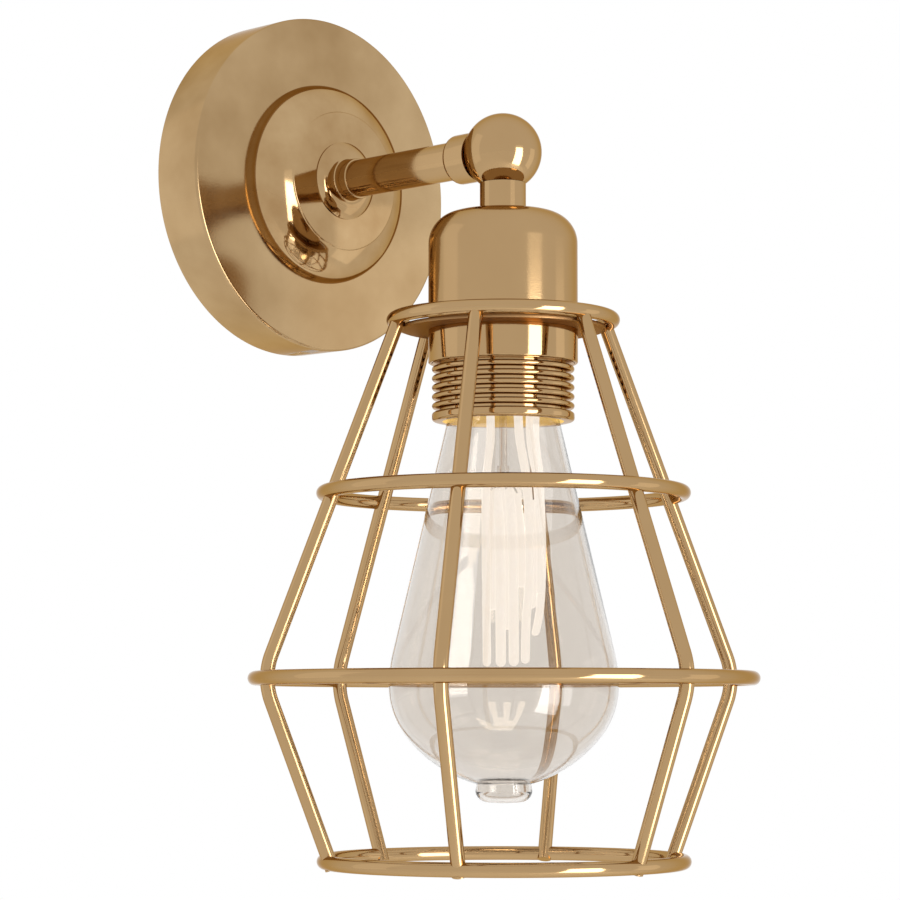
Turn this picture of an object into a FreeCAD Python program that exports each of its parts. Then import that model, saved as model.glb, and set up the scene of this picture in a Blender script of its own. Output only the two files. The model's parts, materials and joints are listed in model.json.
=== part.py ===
# Wall light: a round wall plate carries a straight arm, a ball swivel, a screw-ring lampholder,
# a six-rib wire cage and a pear-shaped filament bulb.
#
# Millimetres. +Z is up and -Y points out of the wall. The origin is on the wall, at the middle
# of the plate, so the arm's axis is the line x = 0, z = 0 and the lamp hangs on a vertical axis
# in front of it. Heights on the lamp are measured from the arm's axis and are negative.
import FreeCAD, Part

import math
import os

import Sketcher
from FreeCAD import Placement, Rotation, Vector

# Driving dimensions.
SIZES = {
    # clearances
    "thread_gap": 0.05,  # between a screwed piece and its threaded hole, on the radius
    "running_gap": 0.05,  # between a turning shaft and its bore, on the radius
    "seat_gap": 0.05,  # between faces of pieces that can move on each other
    "bolt_gap": 0.2,  # round a bolt in a clearance hole, on the radius
    # wall plate
    "plate_radius": 50,
    "plate_depth": 17,
    "plate_wall": 1.5,
    "plate_edge": 0.9,
    # mounting strap behind the plate, and the two grub screws in the plate's rim
    "strap_width": 20,
    "strap_thickness": 2,
    "strap_play": 0.5,
    "tab_depth": 12,
    "wall_screw_spacing": 60,
    "wall_slot_radius": 2.5,
    "wall_slot_length": 12,
    "cable_hole_radius": 5,
    "cable_hole_offset": 9,
    "grub_radius": 2,
    "grub_length": 7,
    "grub_socket": 1.15,
    "grub_level": 8,
    # terminal block and earth screw on the strap
    "block_width": 26,
    "block_depth": 10,
    "block_height": 8,
    "block_drop": 14,
    "block_pitch": 8,
    "block_bore": 1.6,
    "earth_rise": 20,
    "earth_radius": 2,
    "earth_head_radius": 3.8,
    "earth_head_height": 2.6,
    # stepped rosette in front of the plate
    "rosette_radius": 30,
    "rosette_rim": 2.5,
    "rosette_lip": 0.5,
    "rosette_height": 9.2,
    "rosette_top_radius": 20,
    "rosette_foot_radius": 21.3,
    "rosette_foot_height": 7.2,
    "rosette_dome_bend": 26,
    "rosette_wall": 1.5,
    # cone at the root of the arm
    "cone_radius": 11.6,
    "cone_step": 0.5,
    "cone_height": 6.4,
    "cone_top_radius": 5.8,
    "cone_bend": 8.5,
    # arm tube and the threaded tube in its root
    "arm_radius": 5.5,
    "lamp_reach": 91.5,
    "root_radius": 4,
    "root_bore": 2.75,
    "root_grip": 10,
    "root_inner_end": 9.5,
    "washer_radius": 8,
    "washer_thickness": 1.2,
    "nut_circumradius": 7.5,
    "nut_height": 4,
    # socket collar on the lamp end of the arm
    "collar_radius": 7.1,
    "collar_start": 17.8,
    "collar_end": 9.5,
    "collar_shoulder": 1.3,
    "collar_grip": 2.1,
    "collar_web": 1.9,
    # ball and the parts of its swivel
    "ball_radius": 11,
    "ball_gap": 0.35,
    "swivel_radius": 3.5,
    "swivel_bore": 2.3,
    "swivel_grip": 6,
    "stop_pin_radius": 0.5,
    "stop_pin_track": 4.7,
    "stop_pin_depth": 1.2,
    "stop_washer_thickness": 1,
    "stop_hub_radius": 4.1,
    "stop_tooth_radius": 5.25,
    "stop_tooth_width": 1.37,
    "swivel_nut_radius": 5.2,
    "swivel_nut_height": 1.5,
    # neck below the ball
    "neck_radius": 6.5,
    "neck_bottom": 16.7,
    "seal_thickness": 0.5,
    "seal_radius": 6.2,
    "neck_tube_top": 5,
    "neck_tube_bottom": 24,
    # cup
    "cup_radius": 21,
    "cup_shoulder": 9,
    "cup_wall": 0.95,
    "cup_bottom": 49.55,
    # lampholder
    "holder_top": 33,
    "holder_flange": 7,
    "holder_radius": 19.4,
    "holder_sleeve_radius": 16.5,
    "holder_bottom": 66,
    "shell_radius": 14.2,
    "shell_wall": 0.5,
    "shell_top": 42.4,
    "shell_bottom": 65,
    "tongue_width": 5,
    "tongue_thickness": 0.4,
    "tongue_length": 8,
    "terminal_radius": 2.2,
    "terminal_height": 4,
    "terminal_spacing": 17,
    # threaded skirt and the ring that clamps the cage
    "skirt_thread_depth": 2.2,
    "skirt_wall": 0.8,
    "skirt_shank_bottom": 60.2,
    "skirt_bottom": 76.4,
    "skirt_flange": 2.8,
    "ridge_count": 5,
    "ridge_pitch": 2.6,
    "ridge_first": 61.7,
    "ridge_foot": 1.8,
    "ridge_tip": 0.9,
    "ring_height": 9.3,
    "ring_gap": 0.1,
    "ring_lip": 0.5,
    # cage
    "gallery_level": 49.6,
    "gallery_thickness": 1.1,
    "gallery_bore_gap": 0.15,
    "gallery_inset": 2,
    "wire_radius": 2,
    "top_ring_radius": 30.8,
    "top_ring_level": 47.9,
    "upper_ring_outset": 1.75,
    "upper_ring_level": 96.6,
    "wide_ring_radius": 69.1,
    "wide_ring_level": 148.1,
    "bottom_ring_radius": 49.8,
    "bottom_ring_level": 198.5,
    "rib_top_inset": 0.6,
    "rib_top_drop": 0.6,
    "rib_bend_inset": 2.15,
    "rib_bend_drop": 0.05,
    "rib_bend": 18,
    "rib_bottom_inset": 1.2,
    "rib_bottom_drop": 1.7,
    # bulb
    "bulb_radius": 32,
    "bulb_level": 150.2,
    "bulb_wall": 0.8,
    "bulb_shoulder_bend": 41,
    "bulb_belly_bend": 22.6,
    "bulb_base_bend": 37.6,
    "bulb_neck_radius": 14.2,
    "bulb_neck_level": 69.4,
    "bulb_cone_radius": 24.3,
    "bulb_cone_level": 112.6,
    "bulb_tip_radius": 7.6,
    "bulb_tip_bend": 2.6,
    "bulb_tip_level": 182.7,
    "bulb_seam_level": 177.3,
    "bulb_collar_radius": 12.4,
    "bulb_collar_top": 62,
    "cap_radius": 13.1,
    "cap_wall": 0.5,
    "cap_top": 46,
    "cap_crown_radius": 8.5,
    "cap_crown_rise": 1.4,
    "cap_glass_rise": 1,
    "cap_contact_radius": 4.6,
    "cap_contact_rise": 0.8,
    "stem_flare_depth": 4.5,
    "stem_radius": 3.6,
    "stem_rod_radius": 1.1,
    "stem_foot_level": 74,
    "stem_bead_radius": 1.7,
    "stem_bead_top": 89,
    "stem_bead_bottom": 91.5,
    "filament_radius": 0.6,
    "filament_half_gap": 0.75,
    "filament_top": 97,
    "filament_knee": 90,
    "filament_neck": 76.5,
    "filament_end": 71,
    "filament_bow": 1.9,
    "filament_bow_level": 109,
    "first_strand": -2.2,
    "middle_strand": 3.5,
    "last_strand": 8,
    "lead_radius": 0.45,
    "lead_top": 65,
    "lead_run": 1.5,
    "support_radius": 0.25,
    "support_spread": 0.9,
}

LAMP_AXIS = "lamp_reach"
RIB_COUNT = 6
FULL_TURN = 360
SHORTEST_RUN = 0.001  # no straight piece of wire is shorter
BELLY_TURN = 38  # about how far the bulb's belly turns before its base, in degrees
FILAMENT_TURN = -45  # the way the filament's row of fingers runs, from +X
# The filament's fingers: place along the row, depth across it and depth below the arm's axis.
FINGERS = [
    (-4.6, -3, 144.9),
    (-1, 3, 145.1),
    (2.6, -2.5, 144.7),
    (5.9, 2.5, 144.3),
    (9, -1, 136.9),
]
OUTWARD = Rotation(Vector(1, 0, 0), 90)  # turns a piece's own +Z to -Y, out of the wall
INWARD = Rotation(Vector(1, 0, 0), -90)  # turns a piece's own +Z to +Y, towards the wall
UPRIGHT = Rotation()


class Size:
    """A size with its number and the text that binds it to the sheet."""

    def __init__(self, number, text):
        self.number = number
        self.text = text

    def __add__(self, other):
        other = as_size(other)
        return Size(self.number + other.number, f"({self.text} + {other.text})")

    def __sub__(self, other):
        other = as_size(other)
        return Size(self.number - other.number, f"({self.text} - {other.text})")

    def __mul__(self, other):
        other = as_size(other)
        return Size(self.number * other.number, f"({self.text} * {other.text})")

    def __truediv__(self, other):
        other = as_size(other)
        return Size(self.number / other.number, f"({self.text} / {other.text})")

    def __neg__(self):
        return Size(-self.number, f"(0 - {self.text})")

    def __radd__(self, other):
        return as_size(other) + self

    def __rsub__(self, other):
        return as_size(other) - self

    def __rmul__(self, other):
        return as_size(other) * self


def as_size(value):
    """A Size, also from a plain number."""
    return value if isinstance(value, Size) else Size(value, str(value))


def root(value):
    """The square root of a Size."""
    return Size(math.sqrt(value.number), f"sqrt({value.text})")


def leg(slant, other):
    """The second short side of a right triangle."""
    return root(slant * slant - other * other)


def make_sheet(doc):
    """The sheet of driving dimensions, and the same dimensions by name."""
    sheet = doc.addObject("Spreadsheet::Sheet", "Sizes")
    for row, (name, value) in enumerate(SIZES.items(), start=1):
        sheet.set(f"A{row}", str(value))
        sheet.setAlias(f"A{row}", name)
    doc.recompute()
    return {name: Size(float(sheet.get(name)), f"Sizes.{name}") for name in SIZES}


doc = FreeCAD.newDocument("CageWallLight")
dim = make_sheet(doc)
nodes = {}


# ---- ways of making things ----


def bind(item, path, value):
    """Tie one property of an object to the sheet."""
    item.setExpression(path, as_size(value).text)


def place(item, x=0, y=0, z=0, turn=UPRIGHT):
    """Put an object at a place that follows the sheet."""
    spot = [as_size(value) for value in (x, y, z)]
    item.Placement = Placement(Vector(*[value.number for value in spot]), turn)
    for axis, value in zip("xyz", spot):
        if value.number != 0:
            bind(item, f".Placement.Base.{axis}", value)
    return item


def keep(name, item):
    """Make an object the sub-part of that name."""
    item.Label = name
    nodes[name] = item
    return item


def new_body(name):
    return doc.addObject("PartDesign::Body", name)


def origin_item(body, role):
    """One of a body's own planes or axes."""
    return next(item for item in body.Origin.OriginFeatures if item.Role == role)


def new_sketch(body, plane):
    sketch = body.newObject("Sketcher::SketchObject", body.Name + "Sketch")
    sketch.AttachmentSupport = [(origin_item(body, plane), "")]
    sketch.MapMode = "FlatFace"
    return sketch


def fix(sketch, kind, axis, geometry, spot, value):
    """Hold one coordinate of a sketch point; a zero lies on the axis itself."""
    value = as_size(value)
    if value.number == 0:
        sketch.addConstraint(Sketcher.Constraint("PointOnObject", geometry, spot, axis))
        return
    index = sketch.addConstraint(Sketcher.Constraint(kind, -1, 1, geometry, spot, value.number))
    bind(sketch, f"Constraints[{index}]", value)


def fix_point(sketch, geometry, spot, x, y):
    fix(sketch, "DistanceX", -2, geometry, spot, x)
    fix(sketch, "DistanceY", -1, geometry, spot, y)


def add_circle(sketch, x, y, radius):
    """A circle at a point of the sketch."""
    centre = Vector(as_size(x).number, as_size(y).number, 0)
    index = sketch.addGeometry(Part.Circle(centre, Vector(0, 0, 1), as_size(radius).number))
    fix_point(sketch, index, 3, x, y)
    size = sketch.addConstraint(Sketcher.Constraint("Radius", index, as_size(radius).number))
    bind(sketch, f"Constraints[{size}]", radius)
    return index


def arc_between(start, end, radius, side):
    """The short arc from start to end that turns left or right, drawn counterclockwise."""
    if side == "right":
        start, end = end, start
    chord = end - start
    left = Vector(-chord.y, chord.x, 0).normalize()
    centre = start + chord * 0.5 + left * math.sqrt(radius**2 - chord.Length**2 / 4)
    first = math.atan2(start.y - centre.y, start.x - centre.x)
    last = math.atan2(end.y - centre.y, end.x - centre.x)
    return Part.ArcOfCircle(Part.Circle(centre, Vector(0, 0, 1), radius), first, last)


def add_outline(sketch, corners, bends=None):
    """A closed outline through the corners. bends maps an edge's number to (radius, side)."""
    bends = bends or {}
    points = [Vector(as_size(x).number, as_size(y).number, 0) for x, y in corners]
    ends = []
    for number, start in enumerate(points):
        end = points[(number + 1) % len(points)]
        if number in bends:
            radius, side = bends[number]
            edge = sketch.addGeometry(arc_between(start, end, as_size(radius).number, side))
            ends.append((edge, 2, 1) if side == "right" else (edge, 1, 2))
        else:
            edge = sketch.addGeometry(Part.LineSegment(start, end))
            ends.append((edge, 1, 2))
    for number, (edge, _, last) in enumerate(ends):
        after, first, _ = ends[(number + 1) % len(ends)]
        sketch.addConstraint(Sketcher.Constraint("Coincident", edge, last, after, first))
    for (edge, first, _), (x, y) in zip(ends, corners):
        fix_point(sketch, edge, first, x, y)
    for number, (radius, _) in bends.items():
        edge = ends[number][0]
        index = sketch.addConstraint(
            Sketcher.Constraint("Radius", edge, as_size(radius).number)
        )
        bind(sketch, f"Constraints[{index}]", radius)


def spin(body, sketch, kind="Revolution"):
    """Turn a sketch round its own vertical axis, to add or to cut."""
    feature = body.newObject(f"PartDesign::{kind}", body.Name + kind)
    feature.Profile = sketch
    feature.ReferenceAxis = (sketch, ["V_Axis"])
    feature.Angle = FULL_TURN
    return feature


def turned(name, plane, corners, bends=None):
    """A turned body: one outline in a plane, spun round the sketch's vertical axis.

    Each corner is (radius, distance), and the distance runs down the axis.
    """
    body = new_body(name)
    flipped = {edge: (radius, mirrored(side)) for edge, (radius, side) in (bends or {}).items()}
    sketch = new_sketch(body, plane)
    add_outline(sketch, [(radius, -as_size(along)) for radius, along in corners], flipped)
    spin(body, sketch)
    return body


def mirrored(side):
    return "left" if side == "right" else "right"


def on_arm(name, corners, bends=None):
    """A piece turned about the arm's axis. Corners are (radius, distance from the wall)."""
    return keep(name, turned(name, "XY_Plane", corners, bends))


def on_lamp(name, corners, bends=None):
    """A piece turned about the lamp's axis. Corners are (radius, depth below the arm's axis)."""
    body = turned(name, "XZ_Plane", corners, bends)
    return keep(name, place(body, 0, -dim[LAMP_AXIS], 0))


def tube_corners(inner, outer, start, end):
    """The corners of a plain ring's section."""
    return [(inner, start), (outer, start), (outer, end), (inner, end)]


def cylinder(name, radius, height, spot=(0, 0, 0), turn=UPRIGHT):
    item = doc.addObject("Part::Cylinder", name)
    bind(item, "Radius", radius)
    bind(item, "Height", height)
    return place(item, *spot, turn)


def box(name, length, width, height, spot):
    """A block whose lowest corner is at the spot."""
    item = doc.addObject("Part::Box", name)
    bind(item, "Length", length)
    bind(item, "Width", width)
    bind(item, "Height", height)
    return place(item, *spot)


def hexagon(name, circumradius, height, spot, turn=UPRIGHT):
    item = doc.addObject("Part::Prism", name)
    item.Polygon = 6
    bind(item, "Circumradius", circumradius)
    bind(item, "Height", height)
    return place(item, *spot, turn)


def ball(name, radius, spot):
    item = doc.addObject("Part::Sphere", name)
    bind(item, "Radius", radius)
    return place(item, *spot)


def join(name, items):
    item = doc.addObject("Part::MultiFuse", name)
    item.Shapes = items
    return item


def cut(name, base, *tools):
    """The base less every tool."""
    item = doc.addObject("Part::Cut", name)
    item.Base = base
    item.Tool = tools[0] if len(tools) == 1 else join(name + "Tools", list(tools))
    return item


# ---- wall plate ----


def make_wall_plate():
    """A drawn cup with its open side to the wall and a rounded front edge."""
    body = new_body("wall_plate")
    sketch = new_sketch(body, "XY_Plane")
    radius, depth, wall, edge = (
        dim["plate_radius"],
        dim["plate_depth"],
        dim["plate_wall"],
        dim["plate_edge"],
    )
    hole = dim["root_radius"] + dim["bolt_gap"]
    corners = [
        (radius - wall, 0),
        (radius, 0),
        (radius, -(depth - edge)),
        (radius - edge, -depth),
        (hole, -depth),
        (hole, -(depth - wall)),
        (radius - wall, -(depth - wall)),
    ]
    add_outline(sketch, corners, {2: (edge, "right")})
    spin(body, sketch)
    hole_radius = dim["grub_radius"] + dim["bolt_gap"]
    holes = new_sketch(body, "XY_Plane")
    add_circle(holes, 0, -dim["grub_level"], hole_radius)
    pocket = body.newObject("PartDesign::Pocket", "GrubHoles")
    pocket.Profile = holes
    pocket.SideType = "Symmetric"
    pocket.Type = "ThroughAll"
    keep("wall_plate", body)


def make_mounting_strap():
    """A flat strap on the wall with a bent tab at each end for the grub screws."""
    body = new_body("mounting_strap")
    profile = new_sketch(body, "YZ_Plane")
    thick, depth = dim["strap_thickness"], dim["tab_depth"]
    inner = dim["plate_radius"] - dim["plate_wall"]
    half = dim["strap_width"] / 2
    reach = leg(inner, half) - dim["strap_play"]
    corners = [
        (0, -reach),
        (0, reach),
        (-depth, reach),
        (-depth, reach - thick),
        (-thick, reach - thick),
        (-thick, thick - reach),
        (-depth, thick - reach),
        (-depth, -reach),
    ]
    add_outline(profile, corners)
    pad = body.newObject("PartDesign::Pad", "Strap")
    pad.Profile = profile
    pad.SideType = "Symmetric"
    bind(pad, "Length", dim["strap_width"])
    slots = new_sketch(body, "XZ_Plane")
    radius = dim["wall_slot_radius"]
    run = dim["wall_slot_length"] / 2 - radius
    for sign in (1, -1):
        middle = sign * dim["wall_screw_spacing"] / 2
        corners = [
            (-radius, middle - run),
            (-radius, middle + run),
            (radius, middle + run),
            (radius, middle - run),
        ]
        add_slot(slots, corners, radius)
    add_circle(slots, 0, dim["cable_hole_offset"], dim["cable_hole_radius"])
    add_circle(slots, 0, dim["earth_rise"], dim["earth_radius"] + dim["thread_gap"])
    pocket = body.newObject("PartDesign::Pocket", "StrapHoles")
    pocket.Profile = slots
    pocket.SideType = "Symmetric"
    pocket.Type = "Length"
    bind(pocket, "Length", dim["strap_thickness"] * 3)
    threads = new_sketch(body, "XY_Plane")
    add_circle(threads, 0, -dim["grub_level"], dim["grub_radius"] + dim["thread_gap"])
    tapped = body.newObject("PartDesign::Pocket", "TabThreads")
    tapped.Profile = threads
    tapped.SideType = "Symmetric"
    tapped.Type = "ThroughAll"
    keep("mounting_strap", body)


def add_slot(sketch, corners, radius):
    """An upright slot: two straight sides and two half-round ends, each a pair of arcs."""
    (left, low), (_, high), (right, _), _ = corners
    tips = ((0, high + radius), (0, low - radius))
    outline = [(left, low), (left, high), tips[0], (right, high), (right, low), tips[1]]
    rounds = {
        edge: (radius, "right")
        for edge, ends in enumerate(zip(outline, outline[1:] + outline[:1]))
        if ends[0] in tips or ends[1] in tips
    }
    add_outline(sketch, outline, rounds)


def make_grub_screws():
    """A hexagon-socket grub screw through the rim at the top and at the bottom."""
    start = dim["plate_radius"] - dim["plate_edge"]
    for name, turn, side in (
        ("grub_screw_top", Rotation(Vector(1, 0, 0), 180), 1),
        ("grub_screw_bottom", UPRIGHT, -1),
    ):
        spot = (0, -dim["grub_level"], side * start)
        shaft = cylinder(name + "Shaft", dim["grub_radius"], dim["grub_length"], spot, turn)
        socket = hexagon(
            name + "Socket", dim["grub_socket"], dim["grub_length"] / 3, spot, turn
        )
        keep(name, cut(name, shaft, socket))


def make_terminals():
    """The mains terminal block and the earth screw, both on the strap."""
    width, depth, height = dim["block_width"], dim["block_depth"], dim["block_height"]
    front = -(dim["strap_thickness"] + depth)
    low = -(dim["block_drop"] + height / 2)
    block = box("BlockBody", width, depth, height, (width / -2, front, low))
    bores = []
    for step in (-1, 0, 1):
        spot = (step * dim["block_pitch"], front + depth / 2, low)
        bores.append(cylinder("BlockBore", dim["block_bore"], height, spot))
    keep("terminal_block", cut("terminal_block", block, *bores))
    shank = cylinder(
        "EarthShank",
        dim["earth_radius"],
        dim["strap_thickness"] + dim["earth_head_height"] / 2,
        (0, 0, dim["earth_rise"]),
        OUTWARD,
    )
    head = cylinder(
        "EarthHead",
        dim["earth_head_radius"],
        dim["earth_head_height"],
        (0, -dim["strap_thickness"], dim["earth_rise"]),
        OUTWARD,
    )
    keep("earth_screw", join("earth_screw", [shank, head]))


# ---- rosette and arm ----


def make_rosette():
    """A spun rosette: a low rim, a domed slope and a flat top, hollow behind."""
    face = dim["plate_depth"]
    wall = dim["rosette_wall"]
    lip = dim["rosette_lip"]
    hole = dim["root_radius"] + dim["bolt_gap"]
    slope_start = (dim["rosette_radius"] - lip, face + dim["rosette_rim"])
    foot = (dim["rosette_foot_radius"], face + dim["rosette_foot_height"])
    corners = [
        (dim["rosette_radius"], face),
        (dim["rosette_radius"], face + dim["rosette_rim"] - lip),
        slope_start,
        foot,
        (dim["rosette_top_radius"] + lip / 2, face + dim["rosette_height"] - lip),
        (dim["rosette_top_radius"], face + dim["rosette_height"]),
        (hole, face + dim["rosette_height"]),
        (hole, face + dim["rosette_height"] - wall),
        (dim["rosette_top_radius"] - wall, face + dim["rosette_height"] - wall),
        (dim["rosette_foot_radius"] - wall, face + dim["rosette_foot_height"] - wall),
        (dim["rosette_radius"] - wall * 1.5, face),
    ]
    on_arm("rosette", corners, {1: (lip, "left"), 2: (dim["rosette_dome_bend"], "left")})


def make_arm_cone():
    """A small domed cone between the rosette and the arm."""
    face = dim["plate_depth"] + dim["rosette_height"]
    hole = dim["root_radius"] + dim["bolt_gap"]
    corners = [
        (hole, face),
        (dim["cone_radius"], face),
        (dim["cone_radius"], face + dim["cone_step"]),
        (dim["cone_top_radius"], face + dim["cone_height"]),
        (hole, face + dim["cone_height"]),
    ]
    on_arm("arm_cone", corners, {2: (dim["cone_bend"], "left")})


def make_arm():
    """The arm's tube, and the threaded tube with nut and washer that hold it to the plate."""
    start = dim["plate_depth"] + dim["rosette_height"] + dim["cone_height"]
    end = dim[LAMP_AXIS] - dim["collar_start"] + dim["collar_grip"]
    bore = dim["root_radius"] + dim["thread_gap"]
    on_arm("arm_tube", tube_corners(bore, dim["arm_radius"], start, end))
    on_arm(
        "root_tube",
        tube_corners(
            dim["root_bore"], dim["root_radius"], dim["root_inner_end"], start + dim["root_grip"]
        ),
    )
    inside = dim["plate_depth"] - dim["plate_wall"]
    below_washer = inside - dim["washer_thickness"]
    on_arm("arm_washer", tube_corners(bore, dim["washer_radius"], below_washer, inside))
    spot = (0, -(below_washer - dim["nut_height"]), 0)
    outside = hexagon("ArmNutBody", dim["nut_circumradius"], dim["nut_height"], spot, OUTWARD)
    inner = cylinder("ArmNutBore", bore, dim["nut_height"], spot, OUTWARD)
    keep("arm_nut", cut("arm_nut", outside, inner))


# ---- swivel ----


def make_socket_collar():
    """The collar on the arm's end: a hollow seat for the ball, a web, and a chamber behind."""
    reach = dim[LAMP_AXIS]
    seat = dim["ball_radius"] + dim["ball_gap"]
    hole = dim["swivel_radius"] + dim["running_gap"]
    mouth = leg(seat, dim["collar_end"])
    floor = leg(seat, hole)
    back = floor + dim["collar_web"]
    chamber = dim["arm_radius"] + dim["thread_gap"]
    start = dim["collar_start"]
    shoulder = dim["collar_shoulder"]
    corners = [
        (chamber, reach - start),
        (dim["collar_radius"] - shoulder, reach - start),
        (dim["collar_radius"], reach - start + shoulder),
        (dim["collar_radius"], reach - dim["collar_end"]),
        (mouth, reach - dim["collar_end"]),
        (hole, reach - floor),
        (hole, reach - back),
        (chamber, reach - back),
    ]
    bends = {1: (shoulder, "left"), 4: (seat, "right")}
    body = on_arm("socket_collar", corners, bends)
    pin_hole = new_sketch(body, "XZ_Plane")
    add_circle(pin_hole, 0, -dim["stop_pin_track"], dim["stop_pin_radius"])
    plane_offset = reach - back
    bind(pin_hole, "AttachmentOffset.Base.z", plane_offset - dim["seat_gap"])
    hole_cut = body.newObject("PartDesign::Pocket", "PinHole")
    hole_cut.Profile = pin_hole
    hole_cut.Type = "Length"
    hole_cut.Reversed = True
    bind(hole_cut, "Length", dim["stop_pin_depth"] + dim["seat_gap"])
    return back


def make_swivel(back):
    """The turning parts inside the collar: threaded tube, stop washer, nut, and the fixed pin."""
    reach = dim[LAMP_AXIS]
    web_back = reach - back
    bore = dim["swivel_radius"] + dim["thread_gap"]
    washer_front = web_back - dim["seat_gap"]
    washer_back = washer_front - dim["stop_washer_thickness"]
    nut_back = washer_back - dim["swivel_nut_height"]
    tube = tube_corners(
        dim["swivel_bore"], dim["swivel_radius"], nut_back, reach - dim["ball_radius"] + dim["swivel_grip"]
    )
    on_arm("swivel_tube", tube)
    on_arm("swivel_nut", tube_corners(bore, dim["swivel_nut_radius"], nut_back, washer_back))

    track = dim["stop_pin_track"]
    tooth = dim["stop_tooth_width"] / 2
    thick = dim["stop_washer_thickness"]
    hub = cylinder("StopHub", dim["stop_hub_radius"], thick, (0, -washer_back, 0), OUTWARD)
    tooth_box = box(
        "StopTooth",
        tooth * 2,
        thick,
        dim["stop_tooth_radius"],
        (-tooth, -washer_front, 0),
    )
    hole = cylinder("StopBore", bore, thick, (0, -washer_back, 0), OUTWARD)
    keep("stop_washer", cut("stop_washer", join("StopBody", [hub, tooth_box]), hole))
    keep(
        "stop_pin",
        cylinder(
            "stop_pin",
            dim["stop_pin_radius"],
            dim["stop_pin_depth"] + dim["stop_washer_thickness"],
            (0, -(web_back - dim["stop_washer_thickness"]), -track),
            OUTWARD,
        ),
    )


def make_ball():
    """The ball with its two tapped holes and the wire passages that meet in its middle."""
    reach = -dim[LAMP_AXIS]
    radius = dim["ball_radius"]
    solid = ball("BallBody", radius, (0, reach, 0))
    side = cylinder(
        "BallSideHole",
        dim["swivel_radius"] + dim["thread_gap"],
        dim["swivel_grip"],
        (0, reach + radius - dim["swivel_grip"], 0),
        INWARD,
    )
    side_passage = cylinder(
        "BallSidePassage", dim["swivel_bore"], radius - dim["swivel_grip"], (0, reach, 0), INWARD
    )
    below = cylinder(
        "BallLowerHole",
        dim["root_radius"] + dim["thread_gap"],
        radius - dim["neck_tube_top"],
        (0, reach, -radius),
    )
    below_passage = cylinder(
        "BallLowerPassage", dim["root_bore"], dim["neck_tube_top"], (0, reach, -dim["neck_tube_top"])
    )
    keep("ball", cut("ball", solid, side, side_passage, below, below_passage))


def make_neck():
    """The neck sleeve under the ball, its seal, and the threaded tube and nut through them."""
    bore = dim["root_radius"] + dim["thread_gap"]
    seat = dim["ball_radius"] + dim["seat_gap"]
    corners = [
        (bore, leg(seat, bore)),
        (dim["neck_radius"], leg(seat, dim["neck_radius"])),
        (dim["neck_radius"], dim["neck_bottom"]),
        (bore, dim["neck_bottom"]),
    ]
    on_lamp("neck", corners, {0: (seat, "right")})
    top = cup_top()
    on_lamp("neck_seal", tube_corners(bore, dim["seal_radius"], dim["neck_bottom"], top))
    on_lamp(
        "neck_tube",
        tube_corners(
            dim["root_bore"], dim["root_radius"], dim["neck_tube_top"], dim["neck_tube_bottom"]
        ),
    )
    low = top + dim["cup_wall"] + dim["nut_height"]
    spot = (0, -dim[LAMP_AXIS], -low)
    outside = hexagon("CupNutBody", dim["nut_circumradius"], dim["nut_height"], spot)
    inner = cylinder("CupNutBore", bore, dim["nut_height"], spot)
    keep("cup_nut", cut("cup_nut", outside, inner))


def cup_top():
    return dim["neck_bottom"] + dim["seal_thickness"]


# ---- cup and lampholder ----


def make_cup():
    """The plain cup: a flat crown, a round shoulder and a straight side."""
    wall = dim["cup_wall"]
    radius = dim["cup_radius"]
    shoulder = dim["cup_shoulder"]
    hole = dim["root_radius"] + dim["thread_gap"]
    top = cup_top()
    corners = [
        (hole, top),
        (radius - shoulder, top),
        (radius, top + shoulder),
        (radius, dim["cup_bottom"]),
        (radius - wall, dim["cup_bottom"]),
        (radius - wall, top + shoulder),
        (radius - shoulder, top + wall),
        (hole, top + wall),
    ]
    on_lamp("cup", corners, {1: (shoulder, "left"), 5: (shoulder - wall, "right")})


def make_holder():
    """The insulating core with its screw shell, centre contact and terminals."""
    reach = -dim[LAMP_AXIS]
    top = dim["holder_top"]
    floor = top + dim["holder_flange"]
    sleeve_bore = dim["shell_radius"] + dim["thread_gap"]
    wire_hole = dim["root_bore"] / 2
    corners = [
        (wire_hole, top),
        (dim["holder_radius"], top),
        (dim["holder_radius"], floor),
        (dim["holder_sleeve_radius"], floor),
        (dim["holder_sleeve_radius"], dim["holder_bottom"]),
        (sleeve_bore, dim["holder_bottom"]),
        (sleeve_bore, floor),
        (wire_hole, floor),
    ]
    on_lamp("holder_core", corners)
    shell = tube_corners(
        dim["shell_radius"] - dim["shell_wall"],
        dim["shell_radius"],
        dim["shell_top"],
        dim["shell_bottom"],
    )
    on_lamp("screw_shell", shell)

    width, thick, length = dim["tongue_width"], dim["tongue_thickness"], dim["tongue_length"]
    root_block = box("TongueRoot", length, width, thick, (0, reach - width / 2, -(floor + thick)))
    drop = contact_level() - floor
    finger = box(
        "TongueFinger", thick, width, drop, (0, reach - width / 2, -(floor + drop))
    )
    keep("centre_contact", join("centre_contact", [root_block, finger]))
    pair = []
    for side in (-1, 1):
        spot = (side * dim["terminal_spacing"] / 2, reach, -top)
        pair.append(cylinder("Terminal", dim["terminal_radius"], dim["terminal_height"], spot))
    keep("holder_terminals", join("holder_terminals", pair))


def contact_level():
    """The height of the bulb's centre contact."""
    rise = dim["cap_crown_rise"] + dim["cap_glass_rise"] + dim["cap_contact_rise"]
    return dim["cap_top"] - rise


def skirt_crest():
    """The skirt's largest radius, which screws into the cup."""
    return dim["cup_radius"] - dim["cup_wall"] - dim["thread_gap"]


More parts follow.
